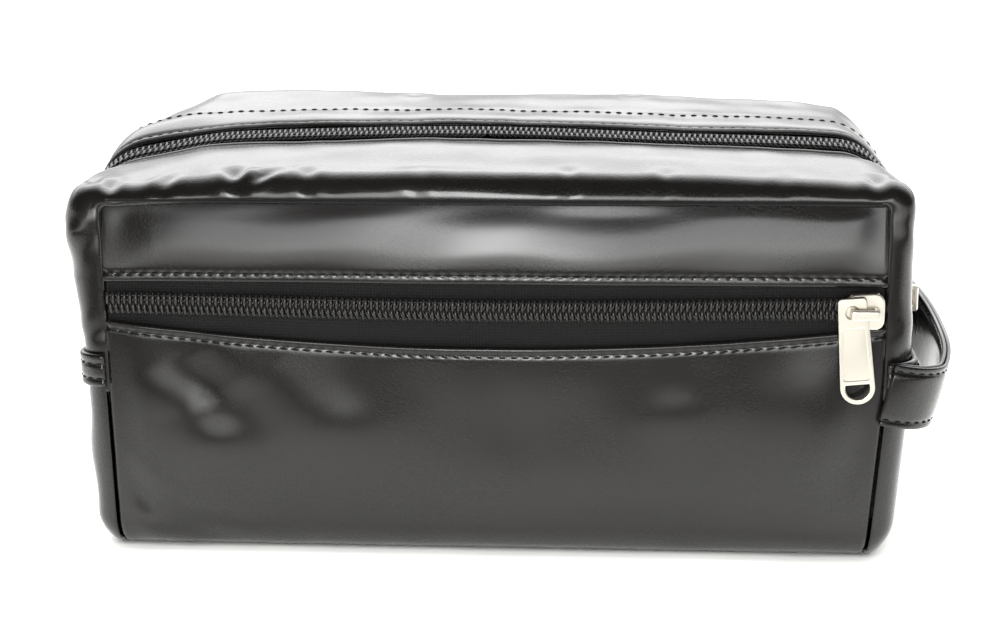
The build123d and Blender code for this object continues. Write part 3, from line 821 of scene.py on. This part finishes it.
# The band follows the end in plan, a little outside it, and its edges rise towards the corners
def bandGrid(side):
    turn, roll = quarter(14), cornerRoll
    midY = np.linspace(-(halfDepth - roll), 0, 44)[1:]
    x = np.r_[endHalf - endBow - roll + roll * np.sin(turn), endAt(midY, 60, side)]
    y = np.r_[-(halfDepth - roll) - roll * np.cos(turn), midY]
    y, x = np.r_[y, -y[::-1][1:]], np.r_[x, x[::-1][1:]]
    rise = endBand["cornerRise"] * (y / halfDepth) ** 2
    across = np.linspace(0, bag["bandHigh"] - bandLow, 15)
    z = bandLow + rise[:, None] + across[None]
    grid = gridOf(side * x[:, None], y[:, None], z)
    normals = gridNormals(grid, side)
    relief = np.full(z.shape, endBand["lift"])
    for row in endBand["rows"]:
        relief -= endBand["groove"] * bell(across[None] - row, 0.6)
    relief += endBand["ripple"] * ripple(grid, 18, 51) * smooth((halfDepth - np.abs(y[:, None])) / 6)
    return grid + normals * relief[..., None]


bandSurfaces = {sideName: bandGrid(side) for sideName, side in sides.items()}
for sideName, side in sides.items():
    placeSheet(f"endBand{sideName}", bandSurfaces[sideName], endBand["thickness"], side, leather,
               f"{sideName.lower()}_end_band", "leather")
print("end bands made")

# Zip tapes
tape = {"inner": 1.1, "outer": 14.0, "thickness": 0.5, "depth": 1.5, "ripple": 0.12}


# A flat grid that hangs with the chain, faintly rippled
def straightTape(up):
    x = np.linspace(-seamHalf + 1.3, seamHalf - 1.3, 200)
    gx, across = np.meshgrid(x, np.linspace(tape["inner"], tape["outer"], 22), indexing="ij")
    z = chainAt(gx) + up * across
    return gridOf(gx, -halfDepth + tape["depth"] + tape["ripple"] * ripple(gridOf(gx, z, z), 20, 61), z)


rowsUp = {"Upper": 1, "Lower": -1}
for row, up in rowsUp.items():
    placeSheet(f"frontZipTape{row}", straightTape(up), tape["thickness"], up, tapeCloth,
               f"front_zip_tape_{row.lower()}", "zip_tape")

# The main zip's tapes follow the zip line, under the leather
for half in halves:
    face, facing, sideName, side = half
    point, outward = onZipLine(np.linspace(0, zipAlong[-1], 190))
    across = np.linspace(tape["inner"], tape["outer"], 16)
    xz = (point - outward * tape["depth"])[:, None].repeat(len(across), axis=1)
    grid = settle(gridOf(side * xz[..., 0], facing * across, xz[..., 1]))
    mesh = sheetMesh(nameOf("mainZipTape", half), grid, tape["thickness"], side * facing)
    placeHalf("mainZipTape", half, mesh, tapeCloth, (
        f"main_zip_tape_{face}", f"{sideName.lower()}_zip_tape_{face}"))
print("tapes made")

# Coils
coil = {
    "pitch": 1.6, "wire": 0.44, "centre": 1.3, "swing": 1.6, "lift": -0.35, "rise": 0.62, "upright": 1.5,
    "steps": 12, "sides": 6, "threadAt": 2.45, "threadWire": 0.25, "threadWave": 0.1,
}


# One row of a coil, as distance along, across and outwards: a flattened helix, one turn for each pitch,
# which moves on mostly at the back so that the bars in front stand nearly straight across
def coilPath(start, stop, phase):
    turns = int((stop - start) / coil["pitch"] - phase)
    angle = np.linspace(0, 2 * math.pi * turns, turns * coil["steps"] + 1)
    along = start + coil["pitch"] * (phase + (angle + coil["upright"] * (np.cos(angle) - 1)) / (2 * math.pi))
    return along, coil["centre"] + coil["swing"] * np.cos(angle), coil["lift"] + coil["rise"] * np.sin(angle)


# The sewing thread that holds the coil: it rises over each turn of the coil
def coilThread(start, stop):
    along = np.arange(start, stop, coil["pitch"] / 4)
    outwards = coil["lift"] + coil["rise"] + coil["threadWave"] * np.cos(2 * math.pi * along / coil["pitch"])
    return along, np.full(len(along), coil["threadAt"]), outwards


# One half of a chain with its thread, moved to its place on the bag by a function
def chainMesh(name, start, stop, phase, toBag, axis, threadSides):
    return newMesh(name, *gather([
        tube(toBag(*coilPath(start, stop, phase)), coil["wire"], coil["sides"], axis),
        tube(toBag(*coilThread(start, stop)), coil["threadWire"], threadSides, axis)]))


# The front chain hangs in the front's plane; the main one follows the zip line and settles with the top
def toFront(along, across, outwards):
    return gridOf(along, -halfDepth - outwards, chainAt(along) + up * across)


def toZipLine(along, across, outwards):
    point, normal = onZipLine(along)
    xz = point + normal * outwards[:, None]
    return settle(gridOf(side * xz[:, 0], facing * across, xz[:, 1]))


frontChain = [corner[0] for corner in boxOf("front_zip_coil_upper")]
for row, up in rowsUp.items():
    name = f"frontZipCoil{row}"
    mesh = chainMesh(name, *frontChain, 0 if up > 0 else 0.5, toFront, (1.0, 0.02, 0.03), 5)
    place(name, mesh, coilNylon, "bag", [f"front_zip_coil_{row.lower()}"])
for half in halves:
    face, facing, sideName, side = half
    lowest = boxOf(f"{sideName.lower()}_zip_coil_{face}")[0][2]
    stop = zipAlong[-1] - (lowest - bandLow)
    name = nameOf("mainZipCoil", half)
    mesh = chainMesh(name, 0, stop, 0 if facing > 0 else 0.5, toZipLine, (0.31, 0.02, 0.95), coil["sides"])
    placeHalf("mainZipCoil", half, mesh, coilNylon, (
        f"main_zip_coil_{face}", f"{sideName.lower()}_zip_coil_{face}"))
print("coils made")


# Short round-ended threads along a line on a surface: each is an arched spindle of rings, sunk into the
# leather at both ends
def stitches(line, normals, rings=7, around=6):
    along = lengths(line)
    count = int(along[-1] / stitch["pitch"])
    at = (np.arange(count) + 0.5) * along[-1] / count
    centre = readAt(at, along, line)
    normal = unit(readAt(at, along, normals))
    forward = unit(readAt(at + 0.5, along, line) - centre + 1e-9)
    sideways = np.cross(normal, forward)
    t = np.linspace(-1, 1, rings)[:, None]
    turn = np.linspace(0, 2 * math.pi, around, endpoint=False)
    thick = stitch["wire"] * np.sqrt(np.maximum(1 - (0.97 * t) ** 4, 0))
    arch = stitch["lift"] - 0.35 * t ** 2
    local = gridOf(t * stitch["length"] / 2, thick * np.cos(turn), arch + thick * np.sin(turn))[None]
    points = (
        centre[:, None, None] + forward[:, None, None] * local[..., :1]
        + sideways[:, None, None] * local[..., 1:2] + normal[:, None, None] * local[..., 2:]
    )
    size, last = rings * around, (rings - 1) * around
    quads = ringFaces(rings, around)[:, [0, 3, 2, 1]]
    quads = (quads[None] + size * np.arange(count)[:, None, None]).reshape(-1, 4).tolist()
    for s in range(count):
        quads.append([size * s + c for c in range(around - 1, -1, -1)])
        quads.append([size * s + last + c for c in range(around)])
    return points.reshape(-1, 3), quads


# A line across a grid at a fixed distance from one edge, with the surface's normals
def lineOnGrid(grid, distance, fromEnd=False, sign=1):
    order = -1 if fromEnd else 1
    work = grid[:, ::order]
    normals = gridNormals(grid, sign)[:, ::order]
    step = np.linalg.norm(np.diff(work, axis=1), axis=-1)
    along = np.concatenate([np.zeros((len(work), 1)), np.cumsum(step, axis=1)], axis=1)
    index = np.clip((along < distance).sum(axis=1), 1, work.shape[1] - 1)
    rows = np.arange(len(work))
    share = ((distance - along[rows, index - 1]) / (along[rows, index] - along[rows, index - 1]))[:, None]
    line = work[rows, index - 1] * (1 - share) + work[rows, index] * share
    return line, unit(normals[rows, index - 1])


# Rows of stitches at these distances from a surface's first edge
def stitchMesh(name, surface, distances, sign):
    return newMesh(name, *gather([stitches(*lineOnGrid(surface, row, sign=sign)) for row in distances]))


for half in halves:
    face, facing, sideName, side = half
    rows = [topStrip["stitchInset"], topStrip["secondRow"]] if facing > 0 else [topStrip["stitchInset"]]
    mesh = stitchMesh(nameOf("topStripStitches", half), stripSurfaces[face, sideName], rows, side * facing)
    placeHalf("topStripStitches", half, mesh, thread)
for name, surface, rows, sign in (
    ("upperPanelStitches", upperSurface, [stitch["inset"]], 1),
    ("pocketEdgeStitches", wrapSurface, [bodyWrap["stitchInset"]], -1),
    ("endBandStitchesLeft", bandSurfaces["Left"], endBand["rows"], -1),
    ("endBandStitchesRight", bandSurfaces["Right"], endBand["rows"], 1),
):
    place(name, stitchMesh(name, surface, rows, sign), thread, "bag")
print("stitches made")

# Loop strap
strap = {
    "half": 9.0, "layer": 1.25, "gap": 0.1, "height": 51.0, "straight": 1.0, "turn": 13.0, "heading": 14.0,
    "droop": 13.0, "wander": 0.6, "pillow": 0.35, "groove": 0.4, "rim": 0.6,
}


# The strap's line in plan at a distance outside its bag-side face: straight, a turn, a long arc, and the
# same back
def strapLine(outside, count):
    heading, start, turnX = strap["heading"], halfDepth + 0.3 + outside, seamHalf + strap["straight"]
    cosine, sine = math.cos(math.radians(heading)), math.sin(math.radians(heading))
    turn = strap["turn"] + outside
    turnEnd = (turnX + turn * cosine, start - turn + turn * sine)
    longRadius = turnEnd[1] / sine
    firstTurn = arcPoints((turnX, -(start - turn)), turn, -90, -heading, 24)
    longArc = arcPoints((turnEnd[0] - longRadius * cosine, 0), longRadius, -heading, heading, 60)
    lastTurn = firstTurn[::-1] * [1, -1]
    return resample([(seamHalf, -start), *firstTurn, *longArc[1:-1], *lastTurn, (seamHalf, start)], count)


# Each layer is that line swept across its width, hung down by the droop, and dented along the stitches
def strapGrid(outside, swell):
    line = strapLine(outside, 220)
    half = strap["half"] - strap["rim"]
    share = np.r_[np.linspace(-1, -0.72, 8), np.linspace(-0.72, 0.72, 14)[1:-1], np.linspace(0.72, 1, 8)]
    across = share * half
    grid = gridOf(line[:, :1], line[:, 1:], across)
    normals = gridNormals(grid)
    groove = bell(half - np.abs(across) - stitch["inset"] + strap["rim"], 0.7)
    pillow = strap["pillow"] * np.cos(across / strap["half"] * math.pi / 2)
    relief = swell * (pillow - strap["groove"] * groove)
    grid = grid + normals * relief[None, :, None]
    t = np.linspace(0, 1, len(line))[:, None]
    grid[..., 2] += strap["wander"] * np.sin(2 * math.pi * t * 1.5 + 0.4)
    angle = math.radians(strap["droop"])
    x, z = grid[..., 0] - seamHalf, grid[..., 2].copy()
    grid[..., 0] = seamHalf + x * math.cos(angle) + z * math.sin(angle)
    grid[..., 2] = strap["height"] + z * math.cos(angle) - x * math.sin(angle)
    return grid


layer, gap = strap["layer"], strap["gap"]
innerSeen, innerHidden = strapGrid(0.0, -0.8), strapGrid(layer, 0.0)
outerHidden, outerSeen = strapGrid(layer + gap, 0.0), strapGrid(2 * layer + gap, 1.0)
for name, outer, inner in (("Inner", innerHidden, innerSeen), ("Outer", outerSeen, outerHidden)):
    placeSheet(f"strap{name}", outer, 0, 1, strapLeather, f"wrist_strap_{name.lower()}", "strap",
               inner=inner, rim=6)
shapes = [
    stitches(*lineOnGrid(surface, stitch["inset"] - strap["rim"], fromEnd, sign))
    for surface, sign in ((outerSeen, 1), (innerSeen, -1)) for fromEnd in (False, True)]
place("strapStitches", newMesh("strapStitches", *gather(shapes)), thread, "bag")
print("strap made")

# Sliders and pull tabs
slider = {
    "length": 10.8, "mouthHalf": 5.3, "tailHalf": 4.5, "round": 3.2, "plateLow": 1.05, "plate": 1.2,
    "backHigh": -2.35, "wallLow": -1.15, "wallIn": 1.6, "wallInner": 3.5, "wallOuter": 5.1,
    "bridgeLength": 7.8, "bridgeWidth": 2.8, "bridgeBar": 1.5, "bridgeLeg": 1.4, "window": 2.5,
}
pull = {
    "length": 25.8, "near": 4.1, "back": 4.2, "backHalf": 3.8, "eye": 1.85, "thick": 1.1, "float": 0.5,
    "hole": 3.3, "holeFlat": 0.9, "border": 1.4, "rim": 1.2, "sink": 0.35, "lean": 5.5, "edge": 0.3,
}
plateTop = slider["plateLow"] + slider["plate"]


# Rounds the corners of a polygon: each becomes a curve from one side to the next, with this radius to its
# ends
def roundCorners(points, radius, steps=7):
    points = np.array(points, float)
    before, after = np.roll(points, 1, axis=0), np.roll(points, -1, axis=0)
    start, stop = points + unit(before - points) * radius, points + unit(after - points) * radius
    t = np.linspace(0, 1, steps)[None, :, None]
    curve = (1 - t) ** 2 * start[:, None] + 2 * t * (1 - t) * points[:, None] + t ** 2 * stop[:, None]
    return curve.reshape(-1, 2)


# Corners of a rectangle, from the lower left one round
def rectangle(x0, y0, x1, y1):
    return [(x0, y0), (x1, y0), (x1, y1), (x0, y1)]


# A flat plate from closed outlines, with rounded edges, as vertices and faces: Blender's own filled curve
# does it
def plateFrom(outlines, low, high, edge):
    curve = bpy.data.curves.new("outline", "CURVE")
    curve.dimensions, curve.fill_mode = "2D", "BOTH"
    curve.extrude = ((high - low) / 2 - edge) * mm
    curve.bevel_depth, curve.bevel_resolution, curve.offset = edge * mm, 3, -edge * mm
    for outline in outlines:
        spline = curve.splines.new("POLY")
        spline.points.add(len(outline) - 1)
        flat = np.column_stack([np.array(outline) * mm, np.zeros(len(outline)), np.ones(len(outline))])
        spline.points.foreach_set("co", flat.ravel().astype(np.float32))
        spline.use_cyclic_u = True
    holder = bpy.data.objects.new("outline", curve)
    mesh = bpy.data.meshes.new_from_object(holder)
    bpy.data.objects.remove(holder)
    bpy.data.curves.remove(curve)
    points = np.empty(len(mesh.vertices) * 3)
    mesh.vertices.foreach_get("co", points)
    points = points.reshape(-1, 3) / mm + [0, 0, (low + high) / 2]
    polygons = [list(polygon.vertices) for polygon in mesh.polygons]
    bpy.data.meshes.remove(mesh)
    return points, polygons


# A metal piece from shapes drawn along the zip, across it and outwards, turned to those three directions
def metalPiece(name, shapes, origin, directions, body, node):
    turned = [(points @ np.array(directions, float) + origin, polygons) for points, polygons in shapes]
    mesh = newMesh(name, *gather(turned))
    work = bmesh.new()
    work.from_mesh(mesh)
    bmesh.ops.remove_doubles(work, verts=work.verts, dist=0.0005 * mm)
    bmesh.ops.recalc_face_normals(work, faces=work.faces)
    work.to_mesh(mesh)
    work.free()
    mesh.set_sharp_from_angle(angle=math.radians(50))
    facing = np.empty(len(mesh.polygons) * 3)
    mesh.polygons.foreach_get("normal", facing)
    level = np.abs(facing.reshape(-1, 3)).max(axis=1) > 0.9999  # flat faces keep their own normal
    place(name, mesh, plated, body, [node])
    mesh.polygons.foreach_set("use_smooth", ~level)


reach, tailHalf = slider["length"] / 2, slider["tailHalf"]
bodyOutline = roundCorners(
    [(-reach, -tailHalf), (reach, -slider["mouthHalf"]), (reach, slider["mouthHalf"]), (-reach, tailHalf)],
    slider["round"])
wallStart, wallStop = slider["wallIn"] - reach, reach - slider["wallIn"]
wedgeOutline = [(1.2, 0), (3.0, 1.0), (5.2, 0.7), (5.2, -0.7), (3.0, -1.0)]
legOffset = (slider["bridgeLength"] - slider["bridgeLeg"]) / 2
barLow, bridgeHalf, legHalf = plateTop + slider["window"], slider["bridgeLength"] / 2, slider["bridgeLeg"] / 2
barOutline = roundCorners(rectangle(-bridgeHalf, barLow, bridgeHalf, barLow + slider["bridgeBar"]), 0.7)
legOutlines = [
    rectangle(middle - legHalf, plateTop - 0.3, middle + legHalf, barLow + 0.8)
    for middle in (-legOffset, legOffset)]
farCentre = pull["length"] - pull["hole"] - pull["border"]
farRadius = pull["hole"] + pull["border"]
nearHalf, back, backHalf = pull["near"], pull["back"], pull["backHalf"]
nearEnd = roundCorners([(0, nearHalf), (-back, backHalf), (-back, -backHalf), (0, -nearHalf)], 1.2)[7:21]
tabOutline = np.concatenate([nearEnd, arcPoints((farCentre, 0), farRadius, -90, 90, 28)])
flatAngle = math.degrees(math.acos(pull["holeFlat"] / pull["hole"]))
holes = [
    arcPoints((0, 0), pull["eye"], 0, 360 * (1 - 1 / 28), 28)[::-1],
    arcPoints((farCentre, 0), pull["hole"], -180 + flatAngle, 180 - flatAngle, 30)[::-1],
]
sunkStart, sunkStop = pull["near"] + 0.2, farCentre - pull["holeFlat"] - pull["rim"]
sunkNear, sunkFar = pull["near"] - pull["rim"], farRadius - pull["rim"]
sunkOutline = roundCorners(
    [(sunkStart, -sunkNear), (sunkStop, -sunkFar), (sunkStop, sunkFar), (sunkStart, sunkNear)], 0.8)


# The side walls stand between the plates, the wedge parts the coils, and the tab hangs on one leg of the
# bridge
def makeSlider(word, origin, along, across, outwards, pullWay, leg):
    top = plateFrom([bodyOutline], slider["plateLow"], plateTop, 0.45)
    back = plateFrom([bodyOutline], slider["backHigh"] - slider["plate"], slider["backHigh"], 0.4)
    walls = [
        plateFrom([roundCorners([
            (wallStart, way * slider["wallInner"]), (0, way * slider["wallInner"]),
            (wallStop, way * (tailHalf - 0.1)), (wallStop, way * slider["wallOuter"]),
            (wallStart, way * tailHalf)][::way], 0.05, 2)], slider["wallLow"], plateTop - 0.4, 0.03)
        for way in (1, -1)]
    wedge = plateFrom([wedgeOutline], slider["backHigh"] - 0.4, plateTop - 0.4, 0.03)
    metalPiece(f"{word}SliderBody", [top, back, *walls, wedge], origin, [along, across, outwards],
               f"{word}_slider", f"{word}_slider_body")
    wide = slider["bridgeWidth"] / 2
    bridge = [plateFrom([barOutline], -wide, wide, 0.5)]
    bridge += [plateFrom([outline], 0.1 - wide, wide - 0.1, 0.3) for outline in legOutlines]
    downAcross = -np.array(across, float)
    metalPiece(f"{word}SliderBridge", bridge, origin, [along, outwards, downAcross],
               f"{word}_slider", f"{word}_slider_bridge")
    legOrigin = np.array(origin, float) + np.array(along, float) * legOffset * leg
    low, high = plateTop + pull["float"], plateTop + pull["float"] + pull["thick"]
    plate = plateFrom([tabOutline, *holes], low, low + pull["thick"] - pull["sink"] + 0.1, pull["edge"])
    rim = plateFrom([tabOutline, *holes, sunkOutline[::-1]], low + 0.15, high, pull["edge"])
    metalPiece(f"{word}PullTab", [plate, rim], legOrigin, [pullWay, np.cross(outwards, pullWay), outwards],
               f"{word}_pull", f"{word}_pull_tab")


frontMiddle, mainMiddle = (sum(boxOf(f"{word}_slider_body")) / 2 for word in ("front", "main"))
hang = math.radians(pull["lean"])
makeSlider("front", (frontMiddle[0], -halfDepth, frontMiddle[2]), (1, 0, 0), (0, 0, 1), (0, -1, 0),
           (math.sin(hang), 0, -math.cos(hang)), -1)
makeSlider("main", (endHalf, 0, mainMiddle[2]), (0, 0, -1), (0, 1, 0), (1, 0, 0), (0, 0, -1), 1)
print("sliders made")

# Inside
inside = {
    "inset": 4.7, "corner": 4.0, "thickness": 0.4, "floor": 4.9, "foot": 11.0, "slitTop": 57.0,
    "shoulderRadius": 11.3,
}


# The lining is a ring in plan carried down from its rim: upright walls, a quarter circle at the foot, and
# rings that shrink towards the middle of the floor, rippled inwards
def liningGrid():
    half = np.array([endHalf - endBow - inside["inset"], halfDepth - inside["inset"]])
    corner, foot, ground = inside["corner"], inside["foot"], inside["floor"]
    loop = np.concatenate([
        arcPoints((sx * (half[0] - corner), sy * (half[1] - corner)), corner, start, start + 90, 9)
        for sx, sy, start in ((1, -1, -90), (1, 1, 0), (-1, 1, 90), (-1, -1, 180))])
    loop = resample(np.concatenate([loop, loop[:1]]), 401)
    x, y = np.abs(loop).T
    bowed = np.where(x > half[0] - 1, endBow * (1 - np.clip(y / half[1], 0, 1) ** 2), 0)
    atSlit = (x > half[0] - 1) & (y < windowHalf + 1)
    rim = np.where(atSlit, inside["slitTop"], seamHeight - 1.2)
    beyond = np.maximum(x + bowed - shoulder[0], 0)
    rimShoulder = shoulder[1] + np.sqrt(np.maximum(inside["shoulderRadius"] ** 2 - beyond ** 2, 0))
    rim = np.where(x > shoulder[0], np.minimum(rim, rimShoulder), rim)
    turn = quarter(9)[1:, None]
    inwards = np.linspace(foot, half[1] - 0.5, 18)[1:, None]
    z = np.concatenate([
        rim + (ground + foot - rim) * np.linspace(0, 1, 26)[:, None],
        ground + foot * (1 - np.sin(turn)) + 0 * rim, ground + 0 * inwards + 0 * rim])
    shrink = np.concatenate([np.zeros((26, len(x))), foot * (1 - np.cos(turn)) + 0 * rim, inwards + 0 * rim])
    narrow = bag["narrowing"][1] * np.clip((bandLow - z) / bandLow, 0, 1)
    sign = np.sign(loop)
    keepX = np.maximum((x + bowed) - (shrink + narrow) * (x / half[0]), 0)
    keepY = np.maximum(y - shrink * (y / half[1]), 0)
    grid = gridOf(sign[:, 0] * keepX, sign[:, 1] * keepY, z)
    push = smooth((rim - z) / 20) * np.maximum(0.5 + 0.6 * ripple(grid, 24, 71), 0)
    for axis, nearest in ((0, 60), (1, 30)):
        grid[..., axis] -= np.sign(grid[..., axis]) * push * (np.abs(grid[..., axis]) > nearest)
    return np.moveaxis(grid, 0, 1)


placeSheet("bodyLining", liningGrid(), inside["thickness"], -1, liningCloth, "body_lining", "lining")

# Flap linings: the strips' own form, moved in under the leather; the halves overlap at the middle
flapLining = {-1: {"under": 2.1, "first": 0}, 1: {"under": 2.4, "first": join}}
for half in halves:
    face, facing, sideName, side = half
    grid, normals = stripGrid(side, facing, first=8.0, last=75.0, plain=True)
    rows = slice(flapLining[side]["first"], lineCounts["top"] + lineCounts["shoulder"] - 6)
    grid = (grid - normals * flapLining[side]["under"])[rows]
    mesh = sheetMesh(nameOf("topLining", half), grid, inside["thickness"], side * facing)
    placeHalf("topLining", half, mesh, liningCloth, (f"top_{face}_lining",))

# Seam bindings: a tape stands behind each top seam, and its upper edge turns out over the leather's raw
# edge, which closes the fold when the mouth is open
seamBinding = {"inset": 4.0, "thickness": 0.8, "below": 0.8, "reach": {"front": 0.0, "rear": 2.5}}
for face, facing in faces.items():
    low, high = boxOf(f"{face}_seam_binding")
    top, behind = seamHeight - seamBinding["below"], halfDepth - seamBinding["inset"]
    folded = halfDepth - seamBinding["reach"][face]
    profile = resample([(behind, low[2] + 1), (behind, top), (folded, top)], 22)
    x = np.linspace(low[0], high[0], 150)[:, None]
    grid = gridOf(x, facing * profile[:, 0], profile[:, 1])
    placeSheet(f"{face}SeamBinding", grid, seamBinding["thickness"], -facing, bindingCloth,
               f"{face}_seam_binding", "binding", rim=6)

# The pocket's bag: a flat pouch, whose front is the leather and whose back hangs a little slack
pouch = {"edge": 1.5, "front": 0.9, "depth": 1.7, "slack": 0.3}
low, high = boxOf("pocket_lining")
x = np.linspace(low[0] + pouch["edge"], high[0] - pouch["edge"], 120)
z = np.linspace(low[2] + pouch["edge"], high[2] - pouch["edge"], 50)
gx, gz = np.meshgrid(x, z, indexing="ij")
slack = pouch["slack"] * ripple(gridOf(gx, gz, gz), 30, 81)
widthHere = np.minimum(1, (seamAt(gz, gx) - 2.0) / seamHalf)
grid = gridOf(gx * widthHere, low[1] + pouch["front"], gz)
backGrid = grid + gridOf(0, pouch["depth"] + slack, 0)
placeSheet("pocketLining", grid, 0, 1, liningCloth, "pocket_lining", "lining", inner=backGrid)
print("inside made")

# Stiffening board: grey pressed cardboard, which stays the CAD's own solid under the lining
board, tree = newMaterial("pressedCardboard")
at = addNode(tree, "TexCoord").outputs["Object"]
fibres = addNode(tree, "TexNoise", {"Vector": at, "Scale": 1 / (1.5 * mm), "Detail": 5.0}).outputs["Fac"]
finishMaterial(tree, "#6b6762", "#8f8a83", fibres, Roughness=0.9)
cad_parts["base_board"].data.materials.clear()
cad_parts["base_board"].data.materials.append(board)

# Studio: floor, light and camera
studio = {
    "floor": "#f6f6f3", "floorHalf": 6000, "room": 0.06, "behind": 2.3, "above": 1.2, "backdrop": 0.8,
    "target": (-1.6, 0.0, 53.8), "distance": 607.1, "yaw": 4.3, "pitch": 16.3, "roll": -0.64, "lens": 72.0,
}


# A level rectangle, as far to both sides along X, and from low to high along Y
def flatMesh(name, x, low, high, z, material):
    mesh = newMesh(name, [(px, py, z) for px, py in rectangle(-x, low, x, high)], [[0, 1, 2, 3]])
    mesh.materials.append(material)
    return mesh


floorMaterial, tree = newMaterial("whitePaper")
finishMaterial(tree, studio["floor"], Roughness=0.85)
floorHalf = studio["floorHalf"]
floor = linked("floor", flatMesh("floor", floorHalf, -floorHalf, floorHalf, -0.05, floorMaterial))

# The room is dim in front of the bag, bright overhead from the bag to the back, and brightest in a screen
# behind it
world = bpy.data.worlds.new("studioRoom")
world.use_nodes = True
tree = world.node_tree
way = addNode(tree, "SeparateXYZ", {0: addNode(tree, "TexCoord").outputs["Generated"]}).outputs
ramps = (  # what it runs along, from, to, lowest, highest
    (way["Y"], 0.1, 0.75, 0.0, 1.0),
    (way["Z"], 0.1, 0.3, studio["backdrop"], studio["behind"] + studio["backdrop"]),
    (way["Z"], 0.35, 0.9, 0.0, studio["above"]),
    (way["Y"], -0.25, 0.25, 0.0, 1.0),
)
keys = ("Value", "From Min", "From Max", "To Min", "To Max")
behind, raised, ceiling, notFront = (
    addNode(tree, "MapRange", dict(zip(keys, ramp)), interpolation_type="SMOOTHSTEP").outputs[0]
    for ramp in ramps)
strength = studio["room"]
for one, other in ((behind, raised), (ceiling, notFront)):
    part = addNode(tree, "Math", {0: one, 1: other}, operation="MULTIPLY").outputs[0]
    strength = addNode(tree, "Math", {0: part, 1: strength}, operation="ADD").outputs[0]
tree.links.new(strength, tree.nodes["Background"].inputs["Strength"])
tree.nodes["Background"].inputs["Color"].default_value = (1, 1, 1, 1)
bpy.context.scene.world = world
bpy.context.scene.view_settings.view_transform = "Standard"

# A black net flag lies on the floor in front, below the picture, where only reflections show it; it thins
# out to both sides of its middle
flagDeep = {"middle": -340, "full": 70, "none": 240, "half": 700, "height": 0.4}
flagMaterial, tree = newMaterial("blackNet")
spread = addNode(tree, "SeparateXYZ", {"Vector": addNode(tree, "TexCoord").outputs["Object"]})
away = addNode(tree, "Math", {0: spread.outputs["Y"], 1: flagDeep["middle"] * mm}, operation="SUBTRACT")
aside = addNode(tree, "Math", {0: away.outputs[0]}, operation="ABSOLUTE")
cover = addNode(tree, "MapRange", {
    "Value": aside.outputs[0], "From Min": flagDeep["full"] * mm, "From Max": flagDeep["none"] * mm,
    "To Min": 1.0, "To Max": 0.0})
finishMaterial(tree, "#101010", Roughness=1.0, Alpha=cover.outputs[0])
flagNear, flagFar = flagDeep["middle"] + flagDeep["none"], flagDeep["middle"] - flagDeep["none"]
flag = linked("flag", flatMesh("flag", flagDeep["half"], flagFar, flagNear, flagDeep["height"], flagMaterial))
flag.visible_camera = flag.visible_shadow = flag.visible_diffuse = False

lights = [  # name, place, aimed at, width, height, watts
    ("overhead", (0, -150, 1100), (0, 0, 60), 1200, 900, 14),
    ("fill", (0, -900, 700), (0, -100, 0), 1200, 600, 16),
    ("low", (0, -565, 105), (0, 0, 90), 420, 130, 1.0),
    ("strip", (-38, -560, 105), (0, 0, 90), 70, 130, 0.4),
]
for name, spot, aim, width, height, power in lights:
    data = bpy.data.lights.new(name, "AREA")
    data.shape, data.size, data.size_y, data.energy = "RECTANGLE", width * mm, height * mm, power
    lamp = linked(name, data)
    lamp.visible_glossy = name not in ("overhead", "fill")  # these light the floor but show in no reflection
    lamp.location = Vector(spot) * mm
    lamp.rotation_euler = (Vector(spot) - Vector(aim)).to_track_quat("Z", "Y").to_euler()

yaw, pitch, roll = (math.radians(studio[key]) for key in ("yaw", "pitch", "roll"))
back = Vector((math.sin(yaw) * math.cos(pitch), -math.cos(yaw) * math.cos(pitch), math.sin(pitch)))
right = Vector((math.cos(yaw), math.sin(yaw), 0))
up = back.cross(right)
turnedRight = right * math.cos(roll) + up * math.sin(roll)
turnedUp = up * math.cos(roll) - right * math.sin(roll)
camera = linked("camera", bpy.data.cameras.new("camera"))
camera.data.lens, camera.data.sensor_width = studio["lens"], 36
turned = Matrix((turnedRight, turnedUp, back)).transposed().to_4x4()
camera.matrix_world = Matrix.Translation((Vector(studio["target"]) + back * studio["distance"]) * mm) @ turned
camera.data.clip_start, camera.data.clip_end = 0.01, 20
bpy.context.scene.camera = camera
print("studio made")
